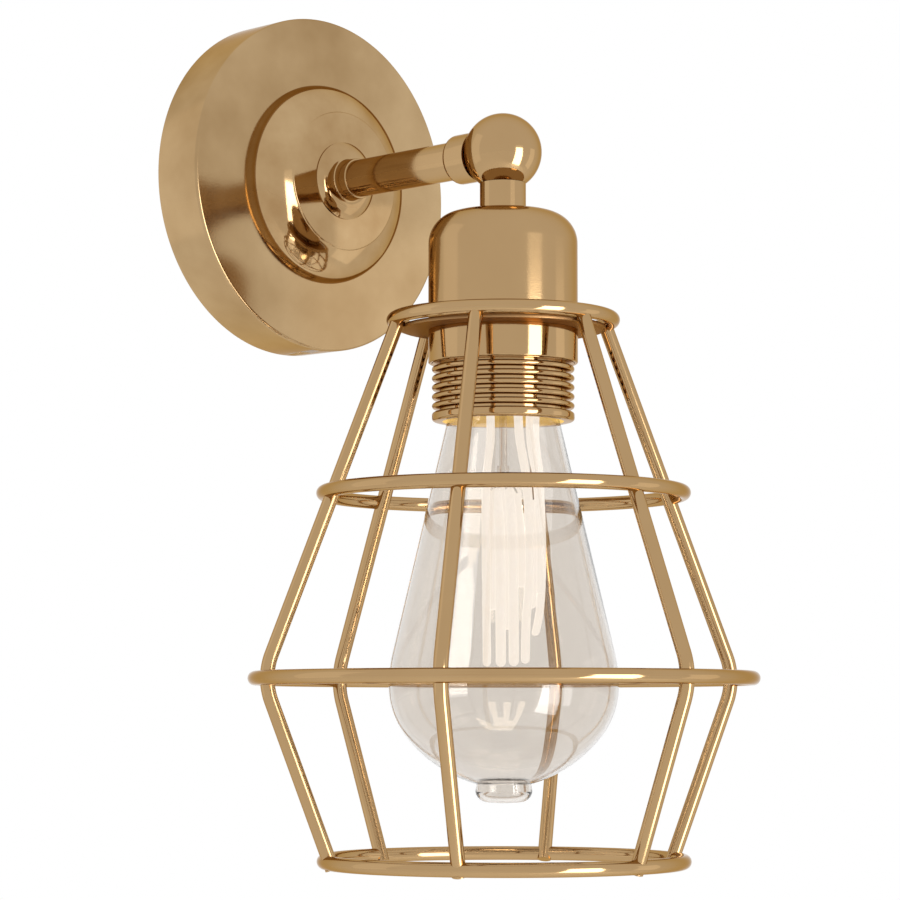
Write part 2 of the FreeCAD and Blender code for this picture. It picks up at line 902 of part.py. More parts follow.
def make_skirt():
    """The threaded skirt: a plain shank, five round ridges and a flange at the mouth."""
    body = new_body("threaded_skirt")
    crest = skirt_crest()
    base = crest - dim["skirt_thread_depth"]
    bore = base - dim["skirt_wall"]
    floor = dim["holder_top"] + dim["holder_flange"]
    bottom = dim["skirt_bottom"]
    lip = dim["ring_lip"]
    corners = [
        (bore, -floor),
        (crest, -floor),
        (crest, -dim["skirt_shank_bottom"]),
        (base, -dim["skirt_shank_bottom"]),
        (base, dim["skirt_flange"] - bottom),
        (crest - lip, dim["skirt_flange"] - bottom),
        (crest, dim["skirt_flange"] - bottom - lip),
        (crest, lip - bottom),
        (crest - lip, -bottom),
        (bore, -bottom),
    ]
    sketch = new_sketch(body, "XZ_Plane")
    add_outline(sketch, corners, {5: (lip, "right"), 7: (lip, "right")})
    spin(body, sketch)
    ridge = new_sketch(body, "XZ_Plane")
    middle = -dim["ridge_first"]
    foot, tip = dim["ridge_foot"] / 2, dim["ridge_tip"] / 2
    root_inside = base - dim["thread_gap"]
    corners = [
        (root_inside, middle - foot),
        (crest - lip, middle - foot),
        (crest, middle - tip),
        (crest, middle + tip),
        (crest - lip, middle + foot),
        (root_inside, middle + foot),
    ]
    add_outline(ridge, corners)
    first = spin(body, ridge)
    doc.recompute()
    pattern = body.newObject("PartDesign::LinearPattern", "Ridges")
    pattern.Originals = [first]
    pattern.Direction = (origin_item(body, "Z_Axis"), [""])
    pattern.Reversed = True
    bind(pattern, "Occurrences", dim["ridge_count"])
    bind(pattern, "Length", dim["ridge_pitch"] * (dim["ridge_count"] - 1))
    body.Tip = pattern
    place(body, 0, -dim[LAMP_AXIS], 0)
    keep("threaded_skirt", body)


def make_shade_ring():
    """The plain ring that screws up the skirt and clamps the cage under the cup."""
    top = dim["gallery_level"] + dim["gallery_thickness"] + dim["seat_gap"]
    bottom = top + dim["ring_height"]
    inner = skirt_crest() + dim["ring_gap"]
    outer = dim["cup_radius"]
    lip = dim["ring_lip"]
    corners = [
        (inner, top),
        (outer, top),
        (outer, bottom - lip),
        (outer - lip, bottom),
        (inner, bottom),
    ]
    on_lamp("shade_ring", corners, {2: (lip, "left")})


# ---- cage ----


def rib_points():
    """The rib's top, the middle of its bend and its bottom, as (radius, depth), tied to the rings."""
    return [
        (dim["top_ring_radius"] - dim["rib_top_inset"], dim["top_ring_level"] + dim["rib_top_drop"]),
        (
            dim["wide_ring_radius"] - dim["rib_bend_inset"] - dim["rib_bend"],
            dim["wide_ring_level"] + dim["rib_bend_drop"],
        ),
        (
            dim["bottom_ring_radius"] - dim["rib_bottom_inset"],
            dim["bottom_ring_level"] + dim["rib_bottom_drop"],
        ),
    ]


def upper_ring_radius():
    """The upper ring lies against the ribs' upper runs, which touch the bend's circle."""
    (top_radius, top), (middle_radius, middle), _ = rib_points()
    across, down = middle_radius - top_radius, middle - top
    bend = dim["rib_bend"]
    slant = across * across + down * down
    straight = root(slant - bend * bend)
    along_across = (across * straight + down * bend) / slant
    along_down = (down * straight - across * bend) / slant
    level = dim["upper_ring_level"]
    return top_radius + (level - top) * along_across / along_down + dim["upper_ring_outset"]


def cage_rings():
    """Each ring's name, radius and depth, from the top down."""
    return [
        ("top_ring", dim["top_ring_radius"], dim["top_ring_level"]),
        ("upper_ring", upper_ring_radius(), dim["upper_ring_level"]),
        ("wide_ring", dim["wide_ring_radius"], dim["wide_ring_level"]),
        ("bottom_ring", dim["bottom_ring_radius"], dim["bottom_ring_level"]),
    ]


def gallery_corners():
    top = dim["gallery_level"]
    inner = skirt_crest() + dim["gallery_bore_gap"]
    outer = dim["top_ring_radius"] - dim["gallery_inset"]
    return tube_corners(inner, outer, top, top + dim["gallery_thickness"])


def make_cage_rings():
    """The flat gallery plate and the four round wire rings."""
    on_lamp("gallery_plate", gallery_corners())
    for name, radius, level in cage_rings():
        item = doc.addObject("Part::Torus", name)
        bind(item, "Radius1", radius)
        bind(item, "Radius2", dim["wire_radius"])
        keep(name, place(item, 0, -dim[LAMP_AXIS], -level))


def make_rib(number):
    """One bent rib, notched where each ring and the gallery plate seat in it."""
    name = f"rib_{number}"
    body = new_body(name)
    path = new_sketch(body, "XZ_Plane")
    top, middle, bottom = [(radius, -depth) for radius, depth in rib_points()]
    add_bent_path(path, top, middle, bottom, dim["rib_bend"])
    doc.recompute()
    section = body.newObject("Sketcher::SketchObject", name + "Section")
    section.AttachmentSupport = [(path, "Vertex1"), (path, "Edge1")]
    section.MapMode = "NormalToEdge"
    add_circle(section, 0, 0, dim["wire_radius"])
    doc.recompute()
    pipe = body.newObject("PartDesign::AdditivePipe", name + "Pipe")
    pipe.Profile = section
    pipe.Spine = (path, ["Edge1", "Edge2", "Edge3"])
    doc.recompute()
    notches = new_sketch(body, "XZ_Plane")
    for _, radius, level in cage_rings():
        add_circle(notches, radius, -level, dim["wire_radius"])
    spin(body, notches, "Groove")
    seat = new_sketch(body, "XZ_Plane")
    add_outline(seat, [(radius, -as_size(depth)) for radius, depth in gallery_corners()])
    spin(body, seat, "Groove")
    turn = Rotation(Vector(0, 0, 1), number * FULL_TURN / RIB_COUNT - 90)
    place(body, 0, -dim[LAMP_AXIS], 0, turn)
    keep(name, body)


def touching_point(spot, centre, radius, side):
    """Where a line from a spot touches a circle. side is 1 or -1, for the two such lines."""
    away = spot - centre
    spread = math.acos(radius / away.Length) * side
    return centre + Rotation(Vector(0, 0, 1), math.degrees(spread)).multVec(away).normalize() * radius


def add_bent_path(sketch, start, centre, end, radius):
    """An open path of two straight runs joined by a tangent arc about the centre."""
    start_spot, middle, end_spot = [Vector(x.number, y.number, 0) for x, y in (start, centre, end)]
    first = touching_point(start_spot, middle, radius.number, -1)
    last = touching_point(end_spot, middle, radius.number, 1)
    run = sketch.addGeometry(Part.LineSegment(start_spot, first))
    bend = sketch.addGeometry(arc_between(first, last, radius.number, "right"))
    tail = sketch.addGeometry(Part.LineSegment(last, end_spot))
    sketch.addConstraint(Sketcher.Constraint("Tangent", run, 2, bend, 2))
    sketch.addConstraint(Sketcher.Constraint("Tangent", bend, 1, tail, 1))
    fix_point(sketch, bend, 3, *centre)
    fix_point(sketch, run, 1, *start)
    fix_point(sketch, tail, 2, *end)
    index = sketch.addConstraint(Sketcher.Constraint("Radius", bend, radius.number))
    bind(sketch, f"Constraints[{index}]", radius)


# ---- bulb ----


def make_bulb_glass():
    """The pear-shaped glass: a straight cone, a round belly, a shallow base and a sealed tip."""
    body = new_body("bulb_glass")
    spin(body, glass_sketch(body, 0))
    place(body, 0, -dim[LAMP_AXIS], 0)
    doc.recompute()
    spin(body, glass_sketch(body, dim["bulb_wall"]), "Groove")
    keep("bulb_glass", body)


def glass_sketch(body, wall):
    """Half of the glass's outline, moved in by the wall."""
    wall = as_size(wall)
    sketch = new_sketch(body, "XZ_Plane")
    collar_top = -dim["bulb_collar_top"]
    belly = -dim["bulb_level"]
    neck = (dim["bulb_neck_radius"] - wall, -dim["bulb_neck_level"] - wall)
    shoulder_bend = dim["bulb_shoulder_bend"] - wall
    belly_bend = dim["bulb_belly_bend"] - wall
    base_bend = dim["bulb_base_bend"] - wall
    widest = (dim["bulb_radius"] - wall, belly)
    seam = (dim["bulb_tip_radius"] - wall, -dim["bulb_seam_level"] + wall)
    tip = -dim["bulb_tip_level"] + wall
    tip_bend = dim["bulb_tip_bend"]

    cone_lean = (dim["bulb_cone_radius"] - dim["bulb_neck_radius"]) / (
        dim["bulb_cone_level"] - dim["bulb_neck_level"]
    )
    lean = math.atan(cone_lean.number)
    centre = Vector(widest[0].number - shoulder_bend.number, belly.number, 0)
    cone_end = centre + Vector(math.cos(lean), math.sin(lean), 0) * shoulder_bend.number
    belly_centre = Vector(widest[0].number - belly_bend.number, belly.number, 0)
    turn = math.radians(BELLY_TURN)
    belly_end = belly_centre + Vector(math.cos(turn), -math.sin(turn), 0) * belly_bend.number

    def spot(pair):
        return Vector(as_size(pair[0]).number, as_size(pair[1]).number, 0)

    def line(start, end):
        return sketch.addGeometry(Part.LineSegment(start, end))

    def arc(start, end, bend):
        return sketch.addGeometry(arc_between(start, end, bend.number, "right"))

    collar = (dim["bulb_collar_radius"] - wall, collar_top)
    collar_foot = (dim["bulb_collar_radius"] - wall, neck[1])
    tip_side = (seam[0], tip + tip_bend)
    tip_flat = (seam[0] - tip_bend, tip)
    crown = line(spot((0, collar_top)), spot(collar))
    side = line(spot(collar), spot(collar_foot))
    step = line(spot(collar_foot), spot(neck))
    cone = line(spot(neck), cone_end)
    shoulder = arc(cone_end, spot(widest), shoulder_bend)
    round_belly = arc(spot(widest), belly_end, belly_bend)
    base = arc(belly_end, spot(seam), base_bend)
    nub = line(spot(seam), spot(tip_side))
    nub_bend = arc(spot(tip_side), spot(tip_flat), tip_bend)
    flat = line(spot(tip_flat), spot((0, tip)))
    axis = line(spot((0, tip)), spot((0, collar_top)))

    def meet(kind, edge, end, other, start):
        sketch.addConstraint(Sketcher.Constraint(kind, edge, end, other, start))

    meet("Coincident", crown, 2, side, 1)
    meet("Coincident", side, 2, step, 1)
    meet("Coincident", step, 2, cone, 1)
    meet("Tangent", cone, 2, shoulder, 2)
    meet("Coincident", shoulder, 1, round_belly, 2)
    meet("Tangent", round_belly, 1, base, 2)
    meet("Coincident", base, 1, nub, 1)
    meet("Coincident", nub, 2, nub_bend, 2)
    meet("Coincident", nub_bend, 1, flat, 1)
    meet("Coincident", flat, 2, axis, 1)
    meet("Coincident", axis, 2, crown, 1)
    fix_point(sketch, crown, 1, 0, collar_top)
    fix_point(sketch, side, 1, *collar)
    fix_point(sketch, step, 1, *collar_foot)
    fix_point(sketch, cone, 1, *neck)
    fix_point(sketch, round_belly, 2, *widest)
    fix(sketch, "DistanceY", -1, shoulder, 3, belly)
    fix(sketch, "DistanceY", -1, round_belly, 3, belly)
    fix_point(sketch, nub, 1, *seam)
    fix_point(sketch, nub_bend, 2, *tip_side)
    fix_point(sketch, nub_bend, 1, *tip_flat)
    fix_point(sketch, axis, 1, 0, tip)
    for edge, bend in (
        (shoulder, shoulder_bend),
        (round_belly, belly_bend),
        (base, base_bend),
        (nub_bend, tip_bend),
    ):
        index = sketch.addConstraint(Sketcher.Constraint("Radius", edge, bend.number))
        bind(sketch, f"Constraints[{index}]", bend)
    return sketch


def make_bulb_cap():
    """The screw cap, the black glass in its crown and the solder contact on top."""
    wall = dim["cap_wall"]
    radius = dim["cap_radius"]
    top = dim["cap_top"]
    crown_top = top - dim["cap_crown_rise"]
    crown = dim["cap_crown_radius"]
    bottom = dim["bulb_neck_level"]
    corners = [
        (crown - wall, crown_top),
        (crown, crown_top),
        (radius, top),
        (radius, bottom),
        (radius - wall, bottom),
        (radius - wall, top + wall),
        (crown - wall, crown_top + wall),
    ]
    on_lamp("bulb_cap", corners)
    glass_top = crown_top - dim["cap_glass_rise"]
    inside = crown - wall - dim["thread_gap"]
    contact = dim["cap_contact_radius"]
    glass = [
        (0, glass_top),
        (contact, glass_top),
        (inside, crown_top),
        (inside, crown_top + wall),
        (0, crown_top + wall),
    ]
    on_lamp("cap_insulator", glass)
    spot = (0, -dim[LAMP_AXIS], -glass_top)
    keep(
        "cap_contact",
        cylinder("cap_contact", contact, dim["cap_contact_rise"], spot),
    )


def make_bulb_inside():
    """The filament, the leads and supports that carry it, and the glass stem."""
    row = filament_row()
    half_gap = dim["filament_half_gap"].number
    filament = bulb_wire("filament", sweep(row, dim["filament_radius"].number, half_gap))
    leads = bulb_wire("lead_wires", Part.makeCompound([lead(row[0]), lead(row[-1])]))
    bars = bulb_wire("SupportBars", Part.makeCompound(support_bars()))

    top = dim["bulb_collar_top"]
    flare = dim["bulb_collar_radius"] - dim["bulb_wall"]
    rod, bead = dim["stem_rod_radius"], dim["stem_bead_radius"]
    corners = [
        (0, top),
        (flare, top),
        (flare, top + dim["bulb_wall"]),
        (dim["stem_radius"], top + dim["stem_flare_depth"]),
        (rod, dim["stem_foot_level"]),
        (rod, dim["stem_bead_top"]),
        (bead, dim["stem_bead_top"]),
        (bead, dim["stem_bead_bottom"]),
        (0, dim["stem_bead_bottom"]),
    ]
    stem = place(turned("StemBlank", "XZ_Plane", corners), 0, -dim[LAMP_AXIS], 0)
    keep("filament", filament)
    keep("lead_wires", leads)
    keep("support_wires", cut("support_wires", bars, filament, stem))
    keep("glass_stem", cut("glass_stem", stem, leads))


def bulb_wire(name, shape):
    """Wire made along the filament's row, put on the lamp's axis."""
    item = doc.addObject("Part::Feature", name)
    item.Shape = shape
    return place(item, 0, -dim[LAMP_AXIS], 0, Rotation(Vector(0, 0, 1), FILAMENT_TURN))


def filament_row():
    """The corners of the filament's line, from its first lead to its last.

    Its x runs along the row of fingers and its y across them.
    """
    half = dim["filament_half_gap"].number
    top, knee, neck, end = (
        -dim["filament_" + name].number for name in ("top", "knee", "neck", "end")
    )
    row = []
    for number, (along, depth, low) in enumerate(FINGERS):
        down = [(along, top)]
        up = [(along, top)]
        if number == 0:
            strand = dim["first_strand"].number
            down = [(strand, end), (strand, neck), (along, knee)]
        if number == len(FINGERS) - 2:
            strand = dim["middle_strand"].number
            up = [(along, knee), (strand, neck), (strand, end)]
        if number == len(FINGERS) - 1:
            strand, bow = dim["last_strand"].number, dim["filament_bow"].number
            bowed = (along + bow, -dim["filament_bow_level"].number)
            down = [(strand, end), (strand, neck), bowed]
            up = down[::-1]
        row += [Vector(spot - half, depth, level) for spot, level in down + [(along, -low)]]
        row += [Vector(spot + half, depth, level) for spot, level in [(along, -low)] + up]
    return row


def lead(end):
    """A lead from inside the stem to an end of the filament."""
    top, run = -dim["lead_top"].number, dim["lead_run"].number
    inside = end.x / 3
    points = [Vector(inside, 0, top), Vector(inside, 0, top - run)]
    points += [Vector(end.x, end.y, end.z + run), end]
    return sweep(points, dim["lead_radius"].number, run)


def support_bars():
    """A thin wire from the stem's bead to each bend that joins two fingers."""
    low, level = -dim["stem_bead_bottom"].number, -dim["filament_top"].number
    bars = []
    for number in range(len(FINGERS) - 2):
        one, other = FINGERS[number], FINGERS[number + 1]
        across = Vector(one[0] + other[0], one[1] + other[1], 0) / 2
        start = Vector(across.x, across.y, 0).normalize() * dim["support_spread"].number
        start.z = low + dim["support_radius"].number
        run = across + Vector(0, 0, level) - start
        bars.append(Part.makeCylinder(dim["support_radius"].number, run.Length, start, run))
    return bars


def sweep(points, radius, bend):
    """A round wire along straight runs that tangent arcs join."""
    line = rounded_line(points, bend)
    profile = Part.Wire(Part.makeCircle(radius, points[0], points[1] - points[0]))
    return line.makePipeShell([profile], True, False)


def rounded_line(points, bend):
    """A line through the points with each corner rounded as far as its runs allow."""
    edges = []
    start = points[0]
    for before, corner, after in zip(points, points[1:], points[2:]):
        back, ahead = before - corner, after - corner
        turn = math.pi - back.getAngle(ahead)
        room = min(back.Length, ahead.Length) / 2
        setback = min(bend * math.tan(turn / 2), room)
        radius = setback / math.tan(turn / 2)
        first = corner + back.normalize() * setback
        last = corner + ahead.normalize() * setback
        inward = (back + ahead).normalize()
        middle = corner + inward * (radius / math.cos(turn / 2) - radius)
        if (first - start).Length > SHORTEST_RUN:
            edges.append(Part.makeLine(start, first))
        edges.append(Part.Arc(first, middle, last).toShape())
        start = last
    edges.append(Part.makeLine(start, points[-1]))
    return Part.Wire(edges)


# ---- assembly ----


def build():
    """Every sub-part, from the wall outwards and down the lamp."""
    make_wall_plate()
    make_mounting_strap()
    make_grub_screws()
    make_terminals()
    make_rosette()
    make_arm_cone()
    make_arm()
    web_back = make_socket_collar()
    make_swivel(web_back)
    make_ball()
    make_neck()
    make_cup()
    make_holder()
    make_skirt()
    make_shade_ring()
    make_cage_rings()
    for number in range(RIB_COUNT):
        make_rib(number + 1)
    make_bulb_glass()
    make_bulb_cap()
    make_bulb_inside()
    doc.recompute()


def check():
    """Stop if any object failed or any sub-part isn't a valid solid."""
    for item in doc.Objects:
        if "Invalid" in item.State or "Error" in item.State:
            raise RuntimeError(f"{item.Label} failed: {item.State}")
    for name, item in nodes.items():
        shape = item.Shape
        if shape.isNull() or not shape.isValid() or not shape.Solids:
            raise RuntimeError(f"{name} isn't a valid solid")


def export():
    os.makedirs("parts", exist_ok=True)
    for name, item in nodes.items():
        item.Shape.exportStep(f"parts/{name}.step")
        print(f"{name}: {item.Shape.Volume:.1f} mm3, {len(item.Shape.Solids)} solid(s)")


build()
check()
export()
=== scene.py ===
"""Cage wall light: smooth turned and drawn pieces, their finishes, and a plain white studio.

Lengths are in metres, save those of the filament's strands, in the light's own frame: the origin on
the wall at the middle of the plate, +Z up and -Y out of the wall. Turned pieces are given as half
sections of (radius, distance along the axis).
"""

import json
import logging
import math
from dataclasses import dataclass, field
from enum import Enum
from typing import Any, Optional, Sequence, Union

import bmesh
import bpy
from mathutils import Matrix, Vector


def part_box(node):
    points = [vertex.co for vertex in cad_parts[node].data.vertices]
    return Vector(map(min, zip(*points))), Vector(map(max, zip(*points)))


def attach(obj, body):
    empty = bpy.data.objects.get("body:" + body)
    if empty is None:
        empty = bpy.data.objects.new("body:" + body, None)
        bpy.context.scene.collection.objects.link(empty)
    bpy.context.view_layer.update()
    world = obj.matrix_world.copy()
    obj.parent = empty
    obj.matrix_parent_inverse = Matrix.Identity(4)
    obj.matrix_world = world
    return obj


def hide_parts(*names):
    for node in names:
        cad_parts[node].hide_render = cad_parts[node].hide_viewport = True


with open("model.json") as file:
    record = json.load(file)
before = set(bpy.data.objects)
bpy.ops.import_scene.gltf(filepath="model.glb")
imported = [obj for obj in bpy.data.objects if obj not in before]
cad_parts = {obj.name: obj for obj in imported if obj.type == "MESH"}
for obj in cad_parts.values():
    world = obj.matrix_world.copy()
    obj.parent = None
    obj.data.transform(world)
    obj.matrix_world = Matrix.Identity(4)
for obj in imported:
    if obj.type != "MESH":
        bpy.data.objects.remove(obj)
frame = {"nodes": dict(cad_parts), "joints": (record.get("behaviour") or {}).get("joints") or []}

Triple = tuple[float, float, float]  # a colour or a place
Spot = tuple[float, float]  # (radius, distance along the axis), or (across, level)

MM = 0.001
ON_AXIS = 1e-7  # a point no further out than this is on the axis
WELD = 1e-6  # points no further apart than this become one
NOISE_MEAN = 0.5
OPAQUE = 1.0
LAMP_Y = next(joint for joint in frame["joints"] if joint["name"] == "cage_turn")["pos_m"][1]
LAMP_REACH = -LAMP_Y  # how far the lamp's axis stands out from the wall

log = logging.getLogger("cage_wall_light")


# ---- shader maths ----


class Channel:
    """A shader socket that Python's operators can work on."""

    def __init__(self, graph: "Graph", socket: Optional[bpy.types.NodeSocket]) -> None:
        """Wrap a socket of a graph.

        Args:
            graph: the graph that the socket is in.
            socket: the output socket, or None for a node that has no output.
        """
        self.graph = graph
        self.socket = socket

    def _maths(self, operation: str, first: Any, second: Any) -> "Channel":
        """Add a Math node.

        Args:
            operation: the node's operation.
            first: a number or Channel.
            second: a number or Channel.

        Returns:
            The node's value.
        """
        return self.graph.node(
            "ShaderNodeMath", {"operation": operation}, {0: first, 1: second}
        )

    def __add__(self, other: Any) -> "Channel":
        """Sum."""
        return self._maths("ADD", self, other)

    __radd__ = __add__

    def __sub__(self, other: Any) -> "Channel":
        """Difference."""
        return self._maths("SUBTRACT", self, other)

    def __rsub__(self, other: Any) -> "Channel":
        """Difference from a number."""
        return self._maths("SUBTRACT", other, self)

    def __mul__(self, other: Any) -> "Channel":
        """Product."""
        return self._maths("MULTIPLY", self, other)

    __rmul__ = __mul__

    def at_most_one(self) -> "Channel":
        """The value, held to 1."""
        return self._maths("MINIMUM", self, 1.0)


class Graph:
    """A material's or the world's nodes."""

    def __init__(self, tree: bpy.types.NodeTree) -> None:
        """Start from an empty tree.

        Args:
            tree: the node tree to fill.
        """
        self.tree = tree
        tree.nodes.clear()

    def node(
        self,
        kind: str,
        settings: Optional[dict[str, Any]] = None,
        inputs: Optional[dict[Union[str, int], Any]] = None,
        output: Union[str, int] = 0,
    ) -> Channel:
        """Add a node, set it up, then fill its sockets.

        Args:
            kind: the node's type.
            settings: attributes of the node, set first.
            inputs: values or Channels by socket name or number.
            output: which output to return.

        Returns:
            The chosen output.
        """
        made = self.tree.nodes.new(kind)
        for name, value in (settings or {}).items():
            setattr(made, name, value)
        for key, value in (inputs or {}).items():
            if isinstance(value, Channel):
                self.tree.links.new(value.socket, made.inputs[key])
            else:
                made.inputs[key].default_value = value
        return Channel(self, made.outputs[output] if len(made.outputs) else None)

    def place(self) -> Channel:
        """Object coordinates."""
        return self.node("ShaderNodeTexCoord", output="Object")

    def noise(self, scale: float, detail: float = 3.0, rough: float = 0.5) -> Channel:
        """Soft noise.

        Args:
            scale: blobs to a metre.
            detail: how many finer layers.
            rough: how strong the finer layers are.

        Returns:
            The noise, from 0 to 1.
        """
        inputs = {"Vector": self.place(), "Scale": scale, "Detail": detail, "Roughness": rough}
        return self.node("ShaderNodeTexNoise", inputs=inputs)

    def mix_colour(self, factor: Channel, one: Sequence[float], other: Sequence[float]) -> Channel:
        """A colour between two.

        Args:
            factor: 0 for the first colour and 1 for the second.
            one: the first colour.
            other: the second colour.

        Returns:
            The mixed colour.
        """
        settings = {"data_type": "RGBA"}
        first, second, result = 6, 7, 2  # the Mix node's colour sockets
        inputs = {0: factor, first: (*one, OPAQUE), second: (*other, OPAQUE)}
        return self.node("ShaderNodeMix", settings, inputs, output=result)

    def bump(self, height: Channel, depth: float, strength: float) -> Channel:
        """A normal bent by a height.

        Args:
            height: the height, from 0 to 1.
            depth: what a height of 1 stands for, in metres.
            strength: how much of it shows.

        Returns:
            The normal.
        """
        inputs = {"Height": height, "Distance": depth, "Strength": strength}
        return self.node("ShaderNodeBump", inputs=inputs)

    def in_view(self) -> Channel:
        """What the camera, metal and glass see of the room, apart from its light on the object.

        Returns:
            1 for those rays and 0 for all others.
        """
        rays = ("Is Camera Ray", "Is Glossy Ray", "Is Transmission Ray")
        seen, glossy, through = (self.node("ShaderNodeLightPath", output=ray) for ray in rays)
        return (seen + glossy + through).at_most_one()


# ---- finishes ----


@dataclass(frozen=True)
class Finish:
    """What every finish has and can do."""

    label: str

    def material(self) -> bpy.types.Material:
        """The finish's material, made once.

        Returns:
            The material.
        """
        name = f"{type(self).__name__}_{self.label}"
        known = bpy.data.materials.get(name)
        if known:
            return known
        made = bpy.data.materials.new(name)
        made.use_nodes = True
        graph = Graph(made.node_tree)
        shader = graph.node("ShaderNodeBsdfPrincipled", inputs=self.sockets(graph))
        graph.node("ShaderNodeOutputMaterial", inputs={"Surface": shader})
        return made

    def sockets(self, graph: Graph) -> dict[str, Any]:
        """What the finish sets on its shader.

        Args:
            graph: the material's nodes.

        Returns:
            Values or Channels by socket name.
        """
        raise NotImplementedError


@dataclass(frozen=True)
class Brass(Finish):
    """Lacquered gold-coloured brass, mirror bright, cloudy or satin.

    The tint goes from shade to colour with the clouds, whose contrast may be raised, and edge is
    its look at a grazing angle; clouds of raised contrast are painted reflections. The gloss goes
    from roughness up by spread. Painted glow is the strength of an emission that paints the
    bulb's light on it.
    """

    colour: Triple = (0.466, 0.309, 0.154)
    shade: Triple = (0.412, 0.263, 0.125)
    edge: Triple = (0.68, 0.53, 0.37)
    roughness: float = 0.04
    spread: float = 0.05
    cloud_scale: float = 45.0
    cloud_detail: float = 4.0
    cloud_rough: float = 0.55
    contrast: float = 1.0
    grain_scale: float = 2400.0
    grain_detail: float = 2.0
    grain_rough: float = 0.6
    grain_depth: float = 0.02 * MM
    grain_strength: float = 0.12
    painted_glow_colour: Triple = (1.0, 0.70, 0.22)
    painted_glow: float = 0.0

    def sockets(self, graph: Graph) -> dict[str, Any]:
        """Cloudy tint and gloss, with a fine grain and a painted glow.

        Args:
            graph: the material's nodes.

        Returns:
            Values or Channels by socket name.
        """
        cloud = graph.noise(self.cloud_scale, self.cloud_detail, self.cloud_rough)
        grain = graph.noise(self.grain_scale, self.grain_detail, self.grain_rough)
        patch = (cloud - NOISE_MEAN) * self.contrast + NOISE_MEAN
        return {
            "Base Color": graph.mix_colour(patch, self.shade, self.colour),
            # painted glow: an emission for the bulb's light on the metal, though the metal is no
            # lamp
            "Emission Color": (*self.painted_glow_colour, OPAQUE),
            "Emission Strength": self.painted_glow,
            "Metallic": 1.0,
            "Specular Tint": (*self.edge, OPAQUE),
            "Roughness": cloud * self.spread + grain * (self.spread / 2) + self.roughness,
            "Normal": graph.bump(grain, self.grain_depth, self.grain_strength),
        }


@dataclass(frozen=True)
class Metal(Finish):
    """Plain plated or bare metal of the small inner pieces."""

    colour: Triple
    roughness: float = 0.3
    spread: float = 0.15
    shade_share: float = 0.8
    cloud_scale: float = 220.0

    def sockets(self, graph: Graph) -> dict[str, Any]:
        """Slightly uneven metal.

        Args:
            graph: the material's nodes.

        Returns:
            Values or Channels by socket name.
        """
        cloud = graph.noise(self.cloud_scale)
        shade = tuple(part * self.shade_share for part in self.colour)
        return {
            "Base Color": graph.mix_colour(cloud, shade, self.colour),
            "Metallic": 1.0,
            "Roughness": cloud * self.spread + self.roughness,
        }


@dataclass(frozen=True)
class Moulded(Finish):
    """Plastic, rubber or black glass."""

    colour: Triple
    roughness: float = 0.45
    spread: float = 0.15
    light_share: float = 1.15
    light_lift: float = 0.01
    grain_scale: float = 1500.0
    grain_depth: float = 0.05 * MM
    grain_strength: float = 0.2

    def sockets(self, graph: Graph) -> dict[str, Any]:
        """Fine moulded texture.

        Args:
            graph: the material's nodes.

        Returns:
            Values or Channels by socket name.
        """
        grain = graph.noise(self.grain_scale)
        light = tuple(min(1.0, part * self.light_share + self.light_lift) for part in self.colour)
        return {
            "Base Color": graph.mix_colour(grain, self.colour, light),
            "Roughness": grain * self.spread + self.roughness,
            "Normal": graph.bump(grain, self.grain_depth, self.grain_strength),
        }


@dataclass(frozen=True)
class ClearGlass(Finish):
    """Blown clear glass with a faint grey tint."""

    colour: Triple = (0.805, 0.765, 0.72)
    index: float = 1.46
    wave_scale: float = 30.0
    wave_detail: float = 1.0
    wave_depth: float = 0.4 * MM
    wave_strength: float = 0.08

    def sockets(self, graph: Graph) -> dict[str, Any]:
        """Glass with the slightest waviness.

        Args:
            graph: the material's nodes.

        Returns:
            Values or Channels by socket name.
        """
        wave = graph.noise(self.wave_scale, self.wave_detail)
        return {
            "Base Color": (*self.colour, OPAQUE),
            "Roughness": 0.0,
            "IOR": self.index,
            "Transmission Weight": 1.0,
            "Normal": graph.bump(wave, self.wave_depth, self.wave_strength),
        }


@dataclass(frozen=True)
class Glow(Finish):
    """The lit filament, a warm cream."""

    colour: Triple = (1.0, 0.95, 0.893)
    strength: float = 1.1
    warm_share: Triple = (1.0, 0.97, 0.92)
    unlit: Triple = (0.05, 0.045, 0.04)
    roughness: float = 0.6
    cloud_scale: float = 300.0

    def sockets(self, graph: Graph) -> dict[str, Any]:
        """A nearly even glow.

        Args:
            graph: the material's nodes.

        Returns:
            Values or Channels by socket name.
        """
        cloud = graph.noise(self.cloud_scale)
        warm = tuple(part * share for part, share in zip(self.colour, self.warm_share))
        return {
            "Base Color": (*self.unlit, OPAQUE),
            "Roughness": self.roughness,
            "Emission Color": graph.mix_colour(cloud, warm, self.colour),
            "Emission Strength": self.strength,
        }


POLISHED = Brass("polished")
SPUN = Brass("spun", roughness=0.09, grain_strength=0.4)
# Satin plate whose colours are darkened to paint the shade under the cage's top.
SATIN_PAINTED_SHADE = Brass(
    "satin",
    colour=(0.37, 0.215, 0.095),
    shade=(0.30, 0.165, 0.070),
    edge=(0.46, 0.30, 0.17),
    roughness=0.36,
    spread=0.1,
)
# Patches of strong contrast on the rosette and the cone: painted reflections.
PAINTED_REFLECTION_PATCHES = Brass(
    "painted_reflection_patches",
    colour=(0.50, 0.345, 0.180),
    shade=(0.375, 0.232, 0.106),
    cloud_scale=70.0,
    contrast=2.0,
)
# The plate's strong cloudy tint is painted reflections of the room.
PLATE_PAINTED_REFLECTIONS = Brass(
    "plate_painted_reflections",
    colour=(0.545, 0.385, 0.208),
    shade=(0.350, 0.222, 0.104),
    roughness=0.03,
    spread=0.16,
    cloud_scale=26.0,
    grain_scale=1600.0,
    grain_strength=0.25,
    contrast=2.2,
)
